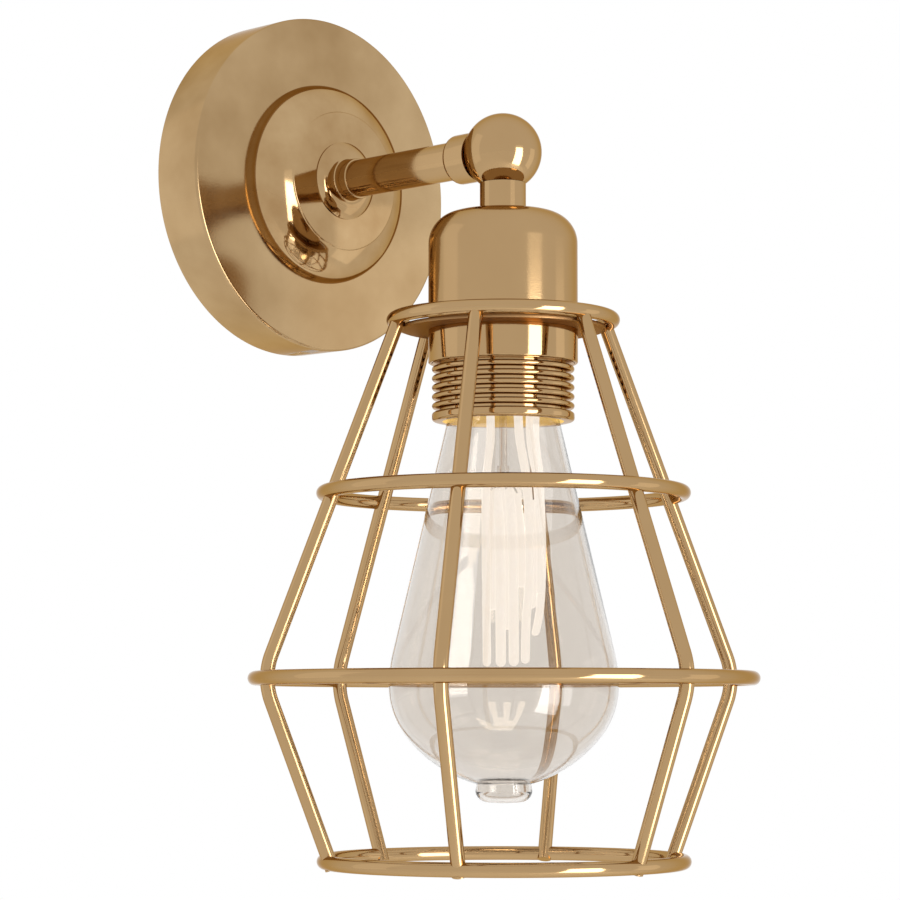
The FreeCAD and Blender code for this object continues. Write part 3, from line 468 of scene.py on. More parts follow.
# The skirt's bore, with a painted glow of the bulb's light on its inside.
BORE_PAINTED_GLOW = Brass("bore", roughness=0.42, spread=0.1, painted_glow=0.8)
BARE_BRASS = Metal("bare_brass", (0.62, 0.46, 0.20), 0.25)
ZINC = Metal("zinc", (0.60, 0.60, 0.58), 0.35)
NICKEL = Metal("nickel", (0.66, 0.64, 0.60), 0.22)
SOLDER = Metal("solder", (0.55, 0.55, 0.54), 0.4)
WHITE_PLASTIC = Moulded("white_plastic", (0.80, 0.79, 0.76), 0.4)
BLACK_PLASTIC = Moulded("black_plastic", (0.03, 0.03, 0.03), 0.5)
RUBBER = Moulded("rubber", (0.05, 0.03, 0.02), 0.6)
BLACK_GLASS = Moulded("black_glass", (0.012, 0.012, 0.014), 0.12)
GLASS = ClearGlass("bulb")
FILAMENT = Glow("filament")
HOT_FILAMENT = Glow("hot_filament", (1.0, 0.91, 0.76), 5.0)

FINISHED_NODES: tuple[tuple[Finish, tuple[str, ...]], ...] = (
    (ZINC, ("mounting_strap", "arm_nut", "arm_washer", "root_tube", "swivel_tube", "swivel_nut")),
    (ZINC, ("stop_washer", "stop_pin", "neck_tube", "cup_nut")),
    (POLISHED, ("grub_screw_top", "grub_screw_bottom")),
    (BARE_BRASS, ("earth_screw", "holder_terminals")),
    (WHITE_PLASTIC, ("terminal_block",)),
    (RUBBER, ("neck_seal",)),
    (BLACK_PLASTIC, ("holder_core",)),
    (NICKEL, ("screw_shell", "centre_contact", "bulb_cap", "lead_wires", "support_wires")),
    (BLACK_GLASS, ("cap_insulator",)),
    (SOLDER, ("cap_contact",)),
    (GLASS, ("glass_stem",)),
)


# ---- mesh making ----


class Spindle(Enum):
    """The two axes that pieces are turned on."""

    ARM = "arm"
    LAMP = "lamp"

    @property
    def matrix(self) -> Matrix:
        """From a half section that is turned about Z to the light's own frame."""
        if self is Spindle.ARM:
            return Matrix.Rotation(math.pi / 2, 4, "X")
        return Matrix.Translation((0.0, LAMP_Y, 0.0))


class Turn(Enum):
    """Which way an arc turns on its way from one point to the next."""

    LEFT = 1
    RIGHT = -1


@dataclass
class Section:
    """A half section, drawn point by point and closed at the end, save along the axis."""

    points: list[Vector] = field(default_factory=list)

    def to(self, *spots: Spot) -> "Section":
        """Go straight to each spot.

        Args:
            spots: (radius, distance) of each.

        Returns:
            The section itself.
        """
        self.points += [Vector((radius, 0.0, along)) for radius, along in spots]
        return self

    def arc(
        self, radius: float, along: float, bend: float, turn: Turn, steps: int = 8
    ) -> "Section":
        """Go to a spot along the short arc.

        Args:
            radius: the spot's radius.
            along: the spot's distance along the axis.
            bend: the arc's own radius.
            turn: which way the arc turns.
            steps: how many pieces it has.

        Returns:
            The section itself.
        """
        start, end = self.points[-1], Vector((radius, 0.0, along))
        chord = end - start
        left = Vector((-chord.z, 0.0, chord.x)).normalized()
        rise = math.sqrt(max(bend**2 - chord.length_squared / 4, 0.0))
        centre = (start + end) / 2 + left * rise * turn.value
        sweep = 2 * math.asin(min(chord.length / 2 / bend, 1.0)) * -turn.value
        spoke = start - centre
        for step in range(1, steps + 1):
            turned = Matrix.Rotation(sweep * step / steps, 3, "Y") @ spoke
            self.points.append(centre + turned)
        return self


def new_object(name: str, mesh: bpy.types.Mesh) -> bpy.types.Object:
    """Put a mesh into the scene.

    Args:
        name: the object's name.
        mesh: its mesh.

    Returns:
        The object.
    """
    made = bpy.data.objects.new(name, mesh)
    bpy.context.scene.collection.objects.link(made)
    return made


def finish_mesh(bm: bmesh.types.BMesh, name: str, sharp: float = 32.0) -> bpy.types.Object:
    """Close up a bmesh, shade it smooth with crisp edges, and make it an object.

    Args:
        bm: the bmesh, which is freed.
        name: the piece's name.
        sharp: edges that turn by more degrees than this stay crisp.

    Returns:
        The object.
    """
    bmesh.ops.remove_doubles(bm, verts=bm.verts, dist=WELD)
    bmesh.ops.recalc_face_normals(bm, faces=bm.faces)
    crisp = math.radians(sharp)
    for face in bm.faces:
        face.smooth = True
    for edge in bm.edges:
        edge.smooth = len(edge.link_faces) == 2 and edge.calc_face_angle(0.0) < crisp
    mesh = bpy.data.meshes.new(name)
    bm.to_mesh(mesh)
    bm.free()
    return new_object(name, mesh)


def spin_round(bm: bmesh.types.BMesh, spindle: Spindle, steps: int) -> None:
    """Spin all of a bmesh's section once round Z, then set it on its spindle.

    Args:
        bm: the bmesh, which holds the section alone.
        spindle: the axis.
        steps: how many faces go round.
    """
    bmesh.ops.spin(
        bm,
        geom=bm.verts[:] + bm.edges[:],
        cent=(0.0, 0.0, 0.0),
        axis=(0.0, 0.0, 1.0),
        angle=math.tau,
        steps=steps,
        use_merge=True,
    )
    bmesh.ops.transform(bm, matrix=spindle.matrix, verts=bm.verts)


def turned(name: str, section: Section, spindle: Spindle, steps: int = 144) -> bpy.types.Object:
    """Turn a half section about an axis.

    Args:
        name: the piece's name.
        section: the half section.
        spindle: the axis.
        steps: how many faces go round.

    Returns:
        The piece.
    """
    bm = bmesh.new()
    verts = [bm.verts.new(point) for point in section.points]
    for pair in zip(verts, verts[1:] + verts[:1]):
        if max(vert.co.x for vert in pair) > ON_AXIS:
            bm.edges.new(pair)
    spin_round(bm, spindle, steps)
    return finish_mesh(bm, name)


def extrude_loop(
    bm: bmesh.types.BMesh, edges: Sequence[bmesh.types.BMEdge]
) -> tuple[list[bmesh.types.BMVert], list[bmesh.types.BMEdge]]:
    """Extrude a loop of edges, on the spot.

    Args:
        bm: the bmesh.
        edges: the loop.

    Returns:
        The new loop's vertices and edges.
    """
    made = bmesh.ops.extrude_edge_only(bm, edges=edges)["geom"]
    verts = [item for item in made if isinstance(item, bmesh.types.BMVert)]
    loop = [
        item
        for item in made
        if isinstance(item, bmesh.types.BMEdge) and all(vert in verts for vert in item.verts)
    ]
    return verts, loop


@dataclass
class Assembly:
    """Pieces that ride on one body."""

    body: str = ""
    slot: str = "polished_brass"

    def add(self, piece: bpy.types.Object, node: str, finish: Finish) -> bpy.types.Object:
        """Dress a piece, let it ride and let it stand for its node.

        Args:
            piece: the new piece.
            node: the node that it replaces.
            finish: its finish.

        Returns:
            The piece.
        """
        piece.data.materials.clear()
        piece.data.materials.append(finish.material())
        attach(piece, self.body)
        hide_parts(node)
        log.info("%s: %d faces, rides on %s", piece.name, len(piece.data.polygons), self.body)
        return piece


# ---- the wall side ----


@dataclass
class WallSide(Assembly):
    """Plate, rosette, cone, arm and collar."""

    body: str = "wall_mount"
    plate_radius: float = 50 * MM
    plate_depth: float = 17 * MM
    plate_wall: float = 1.5 * MM
    plate_edge: float = 0.9 * MM
    hole_radius: float = 4.2 * MM
    grub_radius: float = 2.2 * MM
    grub_level: float = 8 * MM
    grub_sides: int = 40
    rosette_radius: float = 29.8 * MM
    rosette_round: float = 7 * MM
    rosette_shoulder: Spot = (27.66 * MM, 5.04 * MM)
    rosette_bend: float = 20 * MM
    rosette_top: float = 20.2 * MM
    rosette_lip: Spot = (0.5 * MM, 0.4 * MM)
    rosette_lip_bend: float = 0.55 * MM
    rosette_height: float = 9.2 * MM
    cone_radius: float = 11.5 * MM
    cone_step: float = 0.3 * MM
    cone_bend: float = 6.5 * MM
    cone_dome: Spot = (6.5 * MM, 2.0 * MM)
    cone_neck: float = 6.15 * MM
    cone_fillet: float = 0.35 * MM
    cone_height: float = 6.4 * MM
    cone_top: float = 5.95 * MM
    arm_radius: float = 5.5 * MM
    arm_bore: float = 4.05 * MM
    collar_radius: float = 7.1 * MM
    collar_back: float = 17.8 * MM
    collar_front: float = 9.5 * MM
    collar_shoulder: float = 1.3 * MM
    seat_radius: float = 11.35 * MM
    plate_turns: int = 192
    arm_turns: int = 96
    rim_steps: int = 16
    slope_steps: int = 24
    lip_steps: int = 5
    dome_steps: int = 16
    fillet_steps: int = 4
    seat_steps: int = 10

    def build(self) -> None:
        """Make the pieces in order, from the wall outwards."""
        self.make_plate()
        self.make_rosette()
        self.make_cone()
        self.make_arm()
        self.make_collar()

    def make_plate(self) -> None:
        """The drawn plate, open at the back, with the grub screws' holes in its rim."""
        radius, depth = self.plate_radius, self.plate_depth
        wall, edge = self.plate_wall, self.plate_edge
        section = Section().to((radius - wall, 0.0), (radius, 0.0), (radius, depth - edge))
        section.arc(radius - edge, depth, edge, Turn.LEFT)
        section.to((self.hole_radius, depth), (self.hole_radius, depth - wall))
        section.to((radius - wall, depth - wall))
        plate = turned("plate_shell", section, Spindle.ARM, self.plate_turns)
        self.drill(plate)
        # its cloudy tint is painted reflections
        self.add(plate, "wall_plate", PLATE_PAINTED_REFLECTIONS)

    def drill(self, plate: bpy.types.Object) -> None:
        """Drill one upright hole right through the rim, above and below.

        Args:
            plate: the plate.
        """
        bm = bmesh.new()
        bmesh.ops.create_cone(
            bm,
            cap_ends=True,
            segments=self.grub_sides,
            radius1=self.grub_radius,
            radius2=self.grub_radius,
            depth=self.plate_radius * 3,
        )
        bmesh.ops.translate(bm, verts=bm.verts, vec=(0.0, -self.grub_level, 0.0))
        drill = finish_mesh(bm, "drill")
        cut = plate.modifiers.new("holes", "BOOLEAN")
        cut.operation, cut.object, cut.solver = "DIFFERENCE", drill, "EXACT"
        depsgraph = bpy.context.evaluated_depsgraph_get()
        plate.data = bpy.data.meshes.new_from_object(plate.evaluated_get(depsgraph))
        plate.modifiers.clear()
        bpy.data.objects.remove(drill)

    def make_rosette(self) -> None:
        """The spun rosette: round rim, domed slope and a flat top with a crisp edge."""
        face = self.plate_depth
        top = face + self.rosette_height
        shoulder, height = self.rosette_shoulder
        across, down = self.rosette_lip
        section = Section().to((self.rosette_radius, face))
        section.arc(shoulder, face + height, self.rosette_round, Turn.LEFT, self.rim_steps)
        lip = (self.rosette_top + across, top - down)
        section.arc(*lip, self.rosette_bend, Turn.LEFT, self.slope_steps)
        section.arc(self.rosette_top, top, self.rosette_lip_bend, Turn.LEFT, self.lip_steps)
        section.to((self.hole_radius, top), (self.hole_radius, face))
        # its dark and light patches are painted reflections
        self.add(turned("rosette_disc", section, Spindle.ARM), "rosette", PAINTED_REFLECTION_PATCHES)

    def make_cone(self) -> None:
        """The small dome at the root of the arm, with its short neck."""
        face, fillet = self.plate_depth + self.rosette_height, self.cone_fillet
        top = face + self.cone_height
        dome, rise = self.cone_dome
        section = Section().to((self.hole_radius, face), (self.cone_radius, face))
        section.to((self.cone_radius, face + self.cone_step))
        section.arc(dome, face + rise, self.cone_bend, Turn.LEFT, self.dome_steps)
        section.arc(self.cone_neck, face + rise + fillet, fillet, Turn.RIGHT, self.fillet_steps)
        section.to((self.cone_top, top - fillet))
        section.arc(self.cone_top - fillet, top, fillet, Turn.LEFT, self.fillet_steps)
        section.to((self.hole_radius, top))
        # its dark and light patches are painted reflections
        self.add(turned("root_cone", section, Spindle.ARM), "arm_cone", PAINTED_REFLECTION_PATCHES)

    def make_arm(self) -> None:
        """The straight tube of the arm."""
        low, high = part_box("arm_tube")
        section = Section().to((self.arm_bore, -high.y), (self.arm_radius, -high.y))
        section.to((self.arm_radius, -low.y), (self.arm_bore, -low.y))
        self.add(turned("arm", section, Spindle.ARM, self.arm_turns), "arm_tube", POLISHED)

    def make_collar(self) -> None:
        """The collar, with a round shoulder behind and a hollow seat for the ball in front."""
        back, front = LAMP_REACH - self.collar_back, LAMP_REACH - self.collar_front
        mouth = math.sqrt(self.seat_radius**2 - self.collar_front**2)
        bore, radius, shoulder = self.arm_bore, self.collar_radius, self.collar_shoulder
        floor = LAMP_REACH - math.sqrt(self.seat_radius**2 - bore**2)
        section = Section().to((bore, back), (radius - shoulder, back))
        section.arc(radius, back + shoulder, shoulder, Turn.LEFT)
        section.to((radius, front), (mouth, front))
        section.arc(bore, floor, self.seat_radius, Turn.RIGHT, self.seat_steps)
        collar = turned("ball_collar", section, Spindle.ARM, self.arm_turns)
        self.add(collar, "socket_collar", POLISHED)


# ---- swivel and lampholder ----


@dataclass
class Head(Assembly):
    """Ball, neck, cup and threaded skirt."""

    body: str = "head"
    ball_radius: float = 11 * MM
    ball_clearance: float = 0.05 * MM
    neck_radius: float = 6.5 * MM
    neck_bore: float = 4.05 * MM
    neck_bottom: float = -16.7 * MM
    cup_radius: float = 21 * MM
    cup_wall: float = 0.95 * MM
    cup_shoulder: float = 9 * MM
    skirt_crest: float = 20 * MM
    skirt_root: float = 17.8 * MM
    skirt_bore: float = 17 * MM
    shank_bottom: float = -60.2 * MM
    flange: float = 2.6 * MM
    lip: float = 0.85 * MM
    ridge_count: int = 5
    ridge_first: float = -61.7 * MM
    ridge_pitch: float = 2.6 * MM
    ridge_foot: float = 0.95 * MM
    ridge_side: float = 0.8 * MM
    ridge_crown: float = 0.62 * MM
    bore_margin: float = 0.1 * MM
    ball_turns: int = 128
    ball_steps: int = 32
    neck_turns: int = 96
    neck_steps: int = 6
    cup_turns: int = 192
    shoulder_steps: int = 24
    inside_steps: int = 16
    lip_steps: int = 4

    def build(self) -> None:
        """Make the pieces in order, from the ball down."""
        self.make_ball()
        self.make_neck()
        self.make_cup()
        self.make_skirt()

    def make_ball(self) -> None:
        """The ball, whole."""
        radius, steps = self.ball_radius, self.ball_steps
        section = Section().to((0.0, -radius))
        section.arc(radius, 0.0, radius, Turn.LEFT, steps)
        section.arc(0.0, radius, radius, Turn.LEFT, steps)
        self.add(turned("swivel_ball", section, Spindle.LAMP, self.ball_turns), "ball", POLISHED)

    def make_neck(self) -> None:
        """The sleeve under the ball, hollowed to fit it."""
        seat = self.ball_radius + self.ball_clearance
        top = -math.sqrt(seat**2 - self.neck_radius**2)
        inner = -math.sqrt(seat**2 - self.neck_bore**2)
        section = Section().to((self.neck_radius, top), (self.neck_radius, self.neck_bottom))
        section.to((self.neck_bore, self.neck_bottom), (self.neck_bore, inner))
        section.arc(self.neck_radius, top, seat, Turn.LEFT, self.neck_steps)
        section.points.pop()  # the arc ends where the section started
        self.add(turned("neck_sleeve", section, Spindle.LAMP, self.neck_turns), "neck", POLISHED)

    def make_cup(self) -> None:
        """The drawn cup, open below."""
        low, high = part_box("cup")
        top, bottom = high.z, low.z
        radius, wall, shoulder = self.cup_radius, self.cup_wall, self.cup_shoulder
        section = Section().to((self.neck_bore, top - wall), (self.neck_bore, top))
        section.to((radius - shoulder, top))
        section.arc(radius, top - shoulder, shoulder, Turn.RIGHT, self.shoulder_steps)
        section.to((radius, bottom), (radius - wall, bottom), (radius - wall, top - shoulder))
        inside = (radius - shoulder, top - wall)
        section.arc(*inside, shoulder - wall, Turn.LEFT, self.inside_steps)
        self.add(turned("lamp_cup", section, Spindle.LAMP, self.cup_turns), "cup", SPUN)

    def make_skirt(self) -> None:
        """The threaded skirt: shank, round ridges and flange, with the bulb's light painted into
        its bore as a glow.
        """
        low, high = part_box("threaded_skirt")
        top, bottom = high.z, low.z
        crest, root, bore, lip = self.skirt_crest, self.skirt_root, self.skirt_bore, self.lip
        section = Section().to((bore, top), (crest, top), (crest, self.shank_bottom))
        section.to((root, self.shank_bottom))
        foot, side, crown = self.ridge_foot, self.ridge_side, self.ridge_crown
        bend = (side**2 + crown**2) / (2 * crown)
        for ridge in range(self.ridge_count):
            middle = self.ridge_first - ridge * self.ridge_pitch
            section.to((root, middle + foot), (crest - crown, middle + side))
            section.arc(crest - crown, middle - side, bend, Turn.RIGHT)
            section.to((root, middle - foot))
        shelf = bottom + self.flange
        section.to((root, shelf), (crest - lip, shelf))
        section.arc(crest, shelf - lip, lip, Turn.RIGHT, self.lip_steps)
        section.to((crest, bottom + lip))
        section.arc(crest - lip, bottom, lip, Turn.RIGHT, self.lip_steps)
        section.to((bore, bottom))
        skirt = turned("ridged_skirt", section, Spindle.LAMP, self.cup_turns)
        self.add(skirt, "threaded_skirt", POLISHED)
        # the bore's faces get the finish with the painted glow of the bulb's light
        skirt.data.materials.append(BORE_PAINTED_GLOW.material())
        for face in skirt.data.polygons:
            across = Vector((face.center.x, face.center.y - LAMP_Y))
            face.material_index = int(across.length < bore + self.bore_margin)


@dataclass
class ClampRing(Assembly):
    """The plain ring that clamps the cage."""

    body: str = "shade_ring"
    lip: float = 0.4 * MM
    inner: float = 20.1 * MM
    outer: float = 21 * MM
    turns: int = 192
    lip_steps: int = 5

    def build(self) -> None:
        """Make the ring."""
        low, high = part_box("shade_ring")
        section = Section().to((self.inner, high.z), (self.outer, high.z))
        section.to((self.outer, low.z + self.lip))
        section.arc(self.outer - self.lip, low.z, self.lip, Turn.RIGHT, self.lip_steps)
        section.to((self.inner, low.z))
        ring = turned("clamp_ring", section, Spindle.LAMP, self.turns)
        self.add(ring, "shade_ring", POLISHED)


# ---- cage ----


@dataclass
class Cage(Assembly):
    """Gallery plate, four rings and six bent ribs."""

    body: str = "cage"
    wire: float = 2 * MM
    rib_count: int = 6
    rib_bend: float = 18 * MM
    rib_top: Spot = (30.2 * MM, -48.5 * MM)
    rib_corner: Spot = (68.2 * MM, -148.1 * MM)
    rib_bottom: Spot = (48.6 * MM, -200.2 * MM)
    gallery_inner: float = 20.15 * MM
    gallery_outer: float = 28.8 * MM
    gallery_lip: float = 0.2 * MM
    first_rib: float = -30.0  # degrees from +X to the first rib
    rib_spacing: float = 60.0  # degrees from rib to rib
    wire_sides: int = 32
    ring_steps: int = 256
    bend_steps: int = 16
    lip_steps: int = 3

    def build(self) -> None:
        """Make the gallery plate, the rings and the ribs."""
        self.make_gallery()
        for node in ("top_ring", "upper_ring", "wide_ring", "bottom_ring"):
            self.make_ring(node)
        for number in range(self.rib_count):
            self.make_rib(number)

    def make_gallery(self) -> None:
        """The flat satin plate inside the top ring, darkened with painted shade."""
        low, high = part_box("gallery_plate")
        lip = self.gallery_lip
        section = Section().to((self.gallery_inner, low.z), (self.gallery_outer - lip, low.z))
        section.arc(self.gallery_outer, low.z + lip, lip, Turn.LEFT, self.lip_steps)
        section.to((self.gallery_outer, high.z - lip))
        section.arc(self.gallery_outer - lip, high.z, lip, Turn.LEFT, self.lip_steps)
        section.to((self.gallery_inner, high.z))
        # satin finish, darkened with painted shade
        self.add(turned("gallery_disc", section, Spindle.LAMP), "gallery_plate", SATIN_PAINTED_SHADE)

    def make_ring(self, node: str) -> None:
        """A closed ring of round wire.

        Args:
            node: the ring's node.
        """
        low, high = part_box(node)
        radius = (high.x - low.x) / 2 - self.wire
        bm = bmesh.new()
        made = bmesh.ops.create_circle(bm, segments=self.wire_sides, radius=self.wire)
        place = Matrix.Translation((radius, 0.0, (low.z + high.z) / 2))
        upright = place @ Matrix.Rotation(math.pi / 2, 4, "X")
        bmesh.ops.transform(bm, matrix=upright, verts=made["verts"])
        spin_round(bm, Spindle.LAMP, self.ring_steps)
        self.add(finish_mesh(bm, node + "_wire"), node, POLISHED)

    def make_rib(self, number: int) -> None:
        """One rib: two straight runs and the bend between them.

        Args:
            number: which rib, counted from 0.
        """
        ends = (self.rib_top, self.rib_corner, self.rib_bottom)
        top, corner, bottom = (Vector((radius, 0.0, along)) for radius, along in ends)
        first, second = (corner - top).normalized(), (bottom - corner).normalized()
        turn = first.angle(second)
        setback = self.rib_bend * math.tan(turn / 2)
        bend_start = corner - first * setback
        inward = Vector((-first.z, 0.0, first.x))
        inward = inward if inward.dot(second) > 0 else -inward
        centre = bend_start + inward * self.rib_bend
        axis = first.cross(second).normalized()

        bm = bmesh.new()
        made = bmesh.ops.create_circle(bm, segments=self.wire_sides, radius=self.wire)
        facing = Matrix.Translation(top) @ first.to_track_quat("Z", "Y").to_matrix().to_4x4()
        bmesh.ops.transform(bm, matrix=facing, verts=made["verts"])
        start = bm.edges[:]
        verts, edges = extrude_loop(bm, start)
        bmesh.ops.translate(bm, verts=verts, vec=bend_start - top)
        bent = bmesh.ops.spin(
            bm,
            geom=edges,
            cent=centre,
            axis=axis,
            angle=turn,
            steps=self.bend_steps,
            use_merge=False,
        )["geom_last"]
        bent_edges = [item for item in bent if isinstance(item, bmesh.types.BMEdge)]
        verts, edges = extrude_loop(bm, bent_edges)
        bmesh.ops.translate(bm, verts=verts, vec=bottom - (corner + second * setback))
        bmesh.ops.holes_fill(bm, edges=start + edges, sides=0)
        angle = math.radians(number * self.rib_spacing + self.first_rib)
        place = Spindle.LAMP.matrix @ Matrix.Rotation(angle, 4, "Z")
        bmesh.ops.transform(bm, matrix=place, verts=bm.verts)
        self.add(finish_mesh(bm, f"rib_{number + 1}_wire"), f"rib_{number + 1}", POLISHED)


# ---- bulb ----


@dataclass
class Bulb(Assembly):
    """The blown glass. A spot is (radius, level), and a bend is an arc's own radius."""

    body: str = "bulb"
    slot: str = "clear_glass"
    shell: str = "bulb_shell"
    wall: float = 0.8 * MM
    radius: float = 32 * MM
    level: float = -150.2 * MM
    shoulder_bend: float = 41 * MM
    belly_bend: float = 22.6 * MM
    base_bend: float = 37.6 * MM
    belly_turn: float = math.radians(38)
    neck: Spot = (14.2 * MM, -69.4 * MM)
    collar: Spot = (12.4 * MM, -62 * MM)
    seam: Spot = (7.6 * MM, -177.3 * MM)
    tip: float = -182.7 * MM
    tip_waist: Spot = (7.9 * MM, -179.4 * MM)
    tip_shoulder: Spot = (4.6 * MM, -182.3 * MM)
    tip_bend: float = 3.4 * MM
    turns: int = 160
    shoulder_steps: int = 24
    belly_steps: int = 20
    base_steps: int = 20
    tip_steps: int = 8

    def build(self) -> None:
        """Make the glass, outside and inside in one closed wall."""
        outer = self.wall_section(0.0)
        inner = self.wall_section(self.wall)
        section = Section(outer.points + inner.points[::-1])
        self.add(turned(self.shell, section, Spindle.LAMP, self.turns), "bulb_glass", GLASS)

    def wall_section(self, inset: float) -> Section:
        """One side of the glass, from the collar down to the tip.

        Args:
            inset: how far inside the outer face it lies.

        Returns:
            The open section.
        """
        bends = (self.shoulder_bend, self.belly_bend, self.base_bend)
        shoulder, belly, base = (bend - inset for bend in bends)
        neck = Vector((self.neck[0] - inset, 0.0, self.neck[1] - inset))
        centre = Vector((self.radius - inset - shoulder, 0.0, self.level))
        lean = self.cone_lean(neck, centre, shoulder)
        cone_end = centre + Vector((math.cos(lean), 0.0, math.sin(lean))) * shoulder
        belly_centre = Vector((self.radius - inset - belly, 0.0, self.level))
        down = Vector((math.cos(self.belly_turn), 0.0, -math.sin(self.belly_turn)))
        belly_end = belly_centre + down * belly
        seam = (self.seam[0] - inset, self.seam[1] + inset)
        tip = self.tip + inset
        collar, collar_top = self.collar
        section = Section().to((collar - inset, collar_top), (collar - inset, neck.z))
        section.to((neck.x, neck.z), (cone_end.x, cone_end.z))
        section.arc(self.radius - inset, self.level, shoulder, Turn.RIGHT, self.shoulder_steps)
        section.arc(belly_end.x, belly_end.z, belly, Turn.RIGHT, self.belly_steps)
        section.arc(*seam, base, Turn.RIGHT, self.base_steps)
        waist, waist_level = self.tip_waist
        section.to((waist - inset, waist_level))
        across, level = self.tip_shoulder
        tip_shoulder = (across - inset / 2, level + inset)
        section.arc(*tip_shoulder, self.tip_bend, Turn.RIGHT, self.tip_steps)
        return section.to((0.0, tip))

    @staticmethod
    def cone_lean(neck: Vector, centre: Vector, bend: float) -> float:
        """The angle at which the cone's line leaves its shoulder.

        Args:
            neck: the cone's upper end.
            centre: the middle of the shoulder's arc.
            bend: the shoulder's radius.

        Returns:
            The angle of the touching point, from the level.
        """
        away = neck - centre
        rise = math.atan2(away.z, away.x)
        return rise - math.acos(bend / away.length)


@dataclass(frozen=True)
class Strand:
    """One thick, lit strand of the filament, with its lengths in millimetres.

    The run's corners are (across, level) in a plane that is turned with the filament, and depth is
    how far behind the lamp's axis that plane lies.
    """

    depth: float
    radius: float
    run: tuple[Spot, ...]


STRANDS: dict[str, Strand] = {
    "left": Strand(
        -2.0,
        1.15,
        ((-3.7, -72.0), (-3.4, -80.3), (-3.9, -85.4), (-4.7, -91.0), (-4.9, -98.6), (-4.7, -143.7)),
    ),
    "inner_left": Strand(
        -1.0, 1.42, ((-1.9, -96.6), (-1.1, -104.2), (-0.8, -115.3), (-0.8, -143.5))
    ),
    "inner_right": Strand(
        -1.5, 1.42, ((1.7, -96.6), (2.3, -104.2), (2.8, -115.3), (2.8, -143.3))
    ),
    "right": Strand(
        -2.0,
        1.25,
        (
            (4.0, -72.0), (4.4, -80.3), (5.2, -85.4), (6.3, -91.0), (7.0, -98.6),
            (7.4, -111.1), (7.2, -122.3), (6.2, -132.1), (6.0, -142.8),
        ),
    ),
    "far_left": Strand(1.4, 1.4, ((-3.5, -97.4), (-2.9, -109.8), (-2.9, -127.8))),
    "far_middle": Strand(1.5, 1.4, ((-0.1, -96.3), (0.9, -109.8), (1.0, -133.2))),
    "far_right": Strand(1.4, 1.5, ((3.5, -96.3), (5.0, -109.8), (5.0, -121.4))),
    "bridge": Strand(1.2, 1.25, ((8.6, -99.5), (8.7, -108.0), (8.5, -118.0), (8.0, -127.5))),
    "outer": Strand(
        0.6,
        1.15,
        (
            (9.2, -72.0), (8.9, -80.3), (9.4, -85.1), (10.3, -91.0), (10.5, -98.6),
            (10.9, -109.8), (10.8, -120.9), (10.2, -129.8), (9.0, -135.2),
        ),
    ),
    "outer_twin": Strand(
        -0.6,
        1.1,
        (
            (7.4, -72.0), (7.4, -81.2), (8.4, -87.3), (9.5, -93.0),
            (9.9, -102.8), (10.3, -111.1), (10.2, -123.7),
        ),
    ),
}


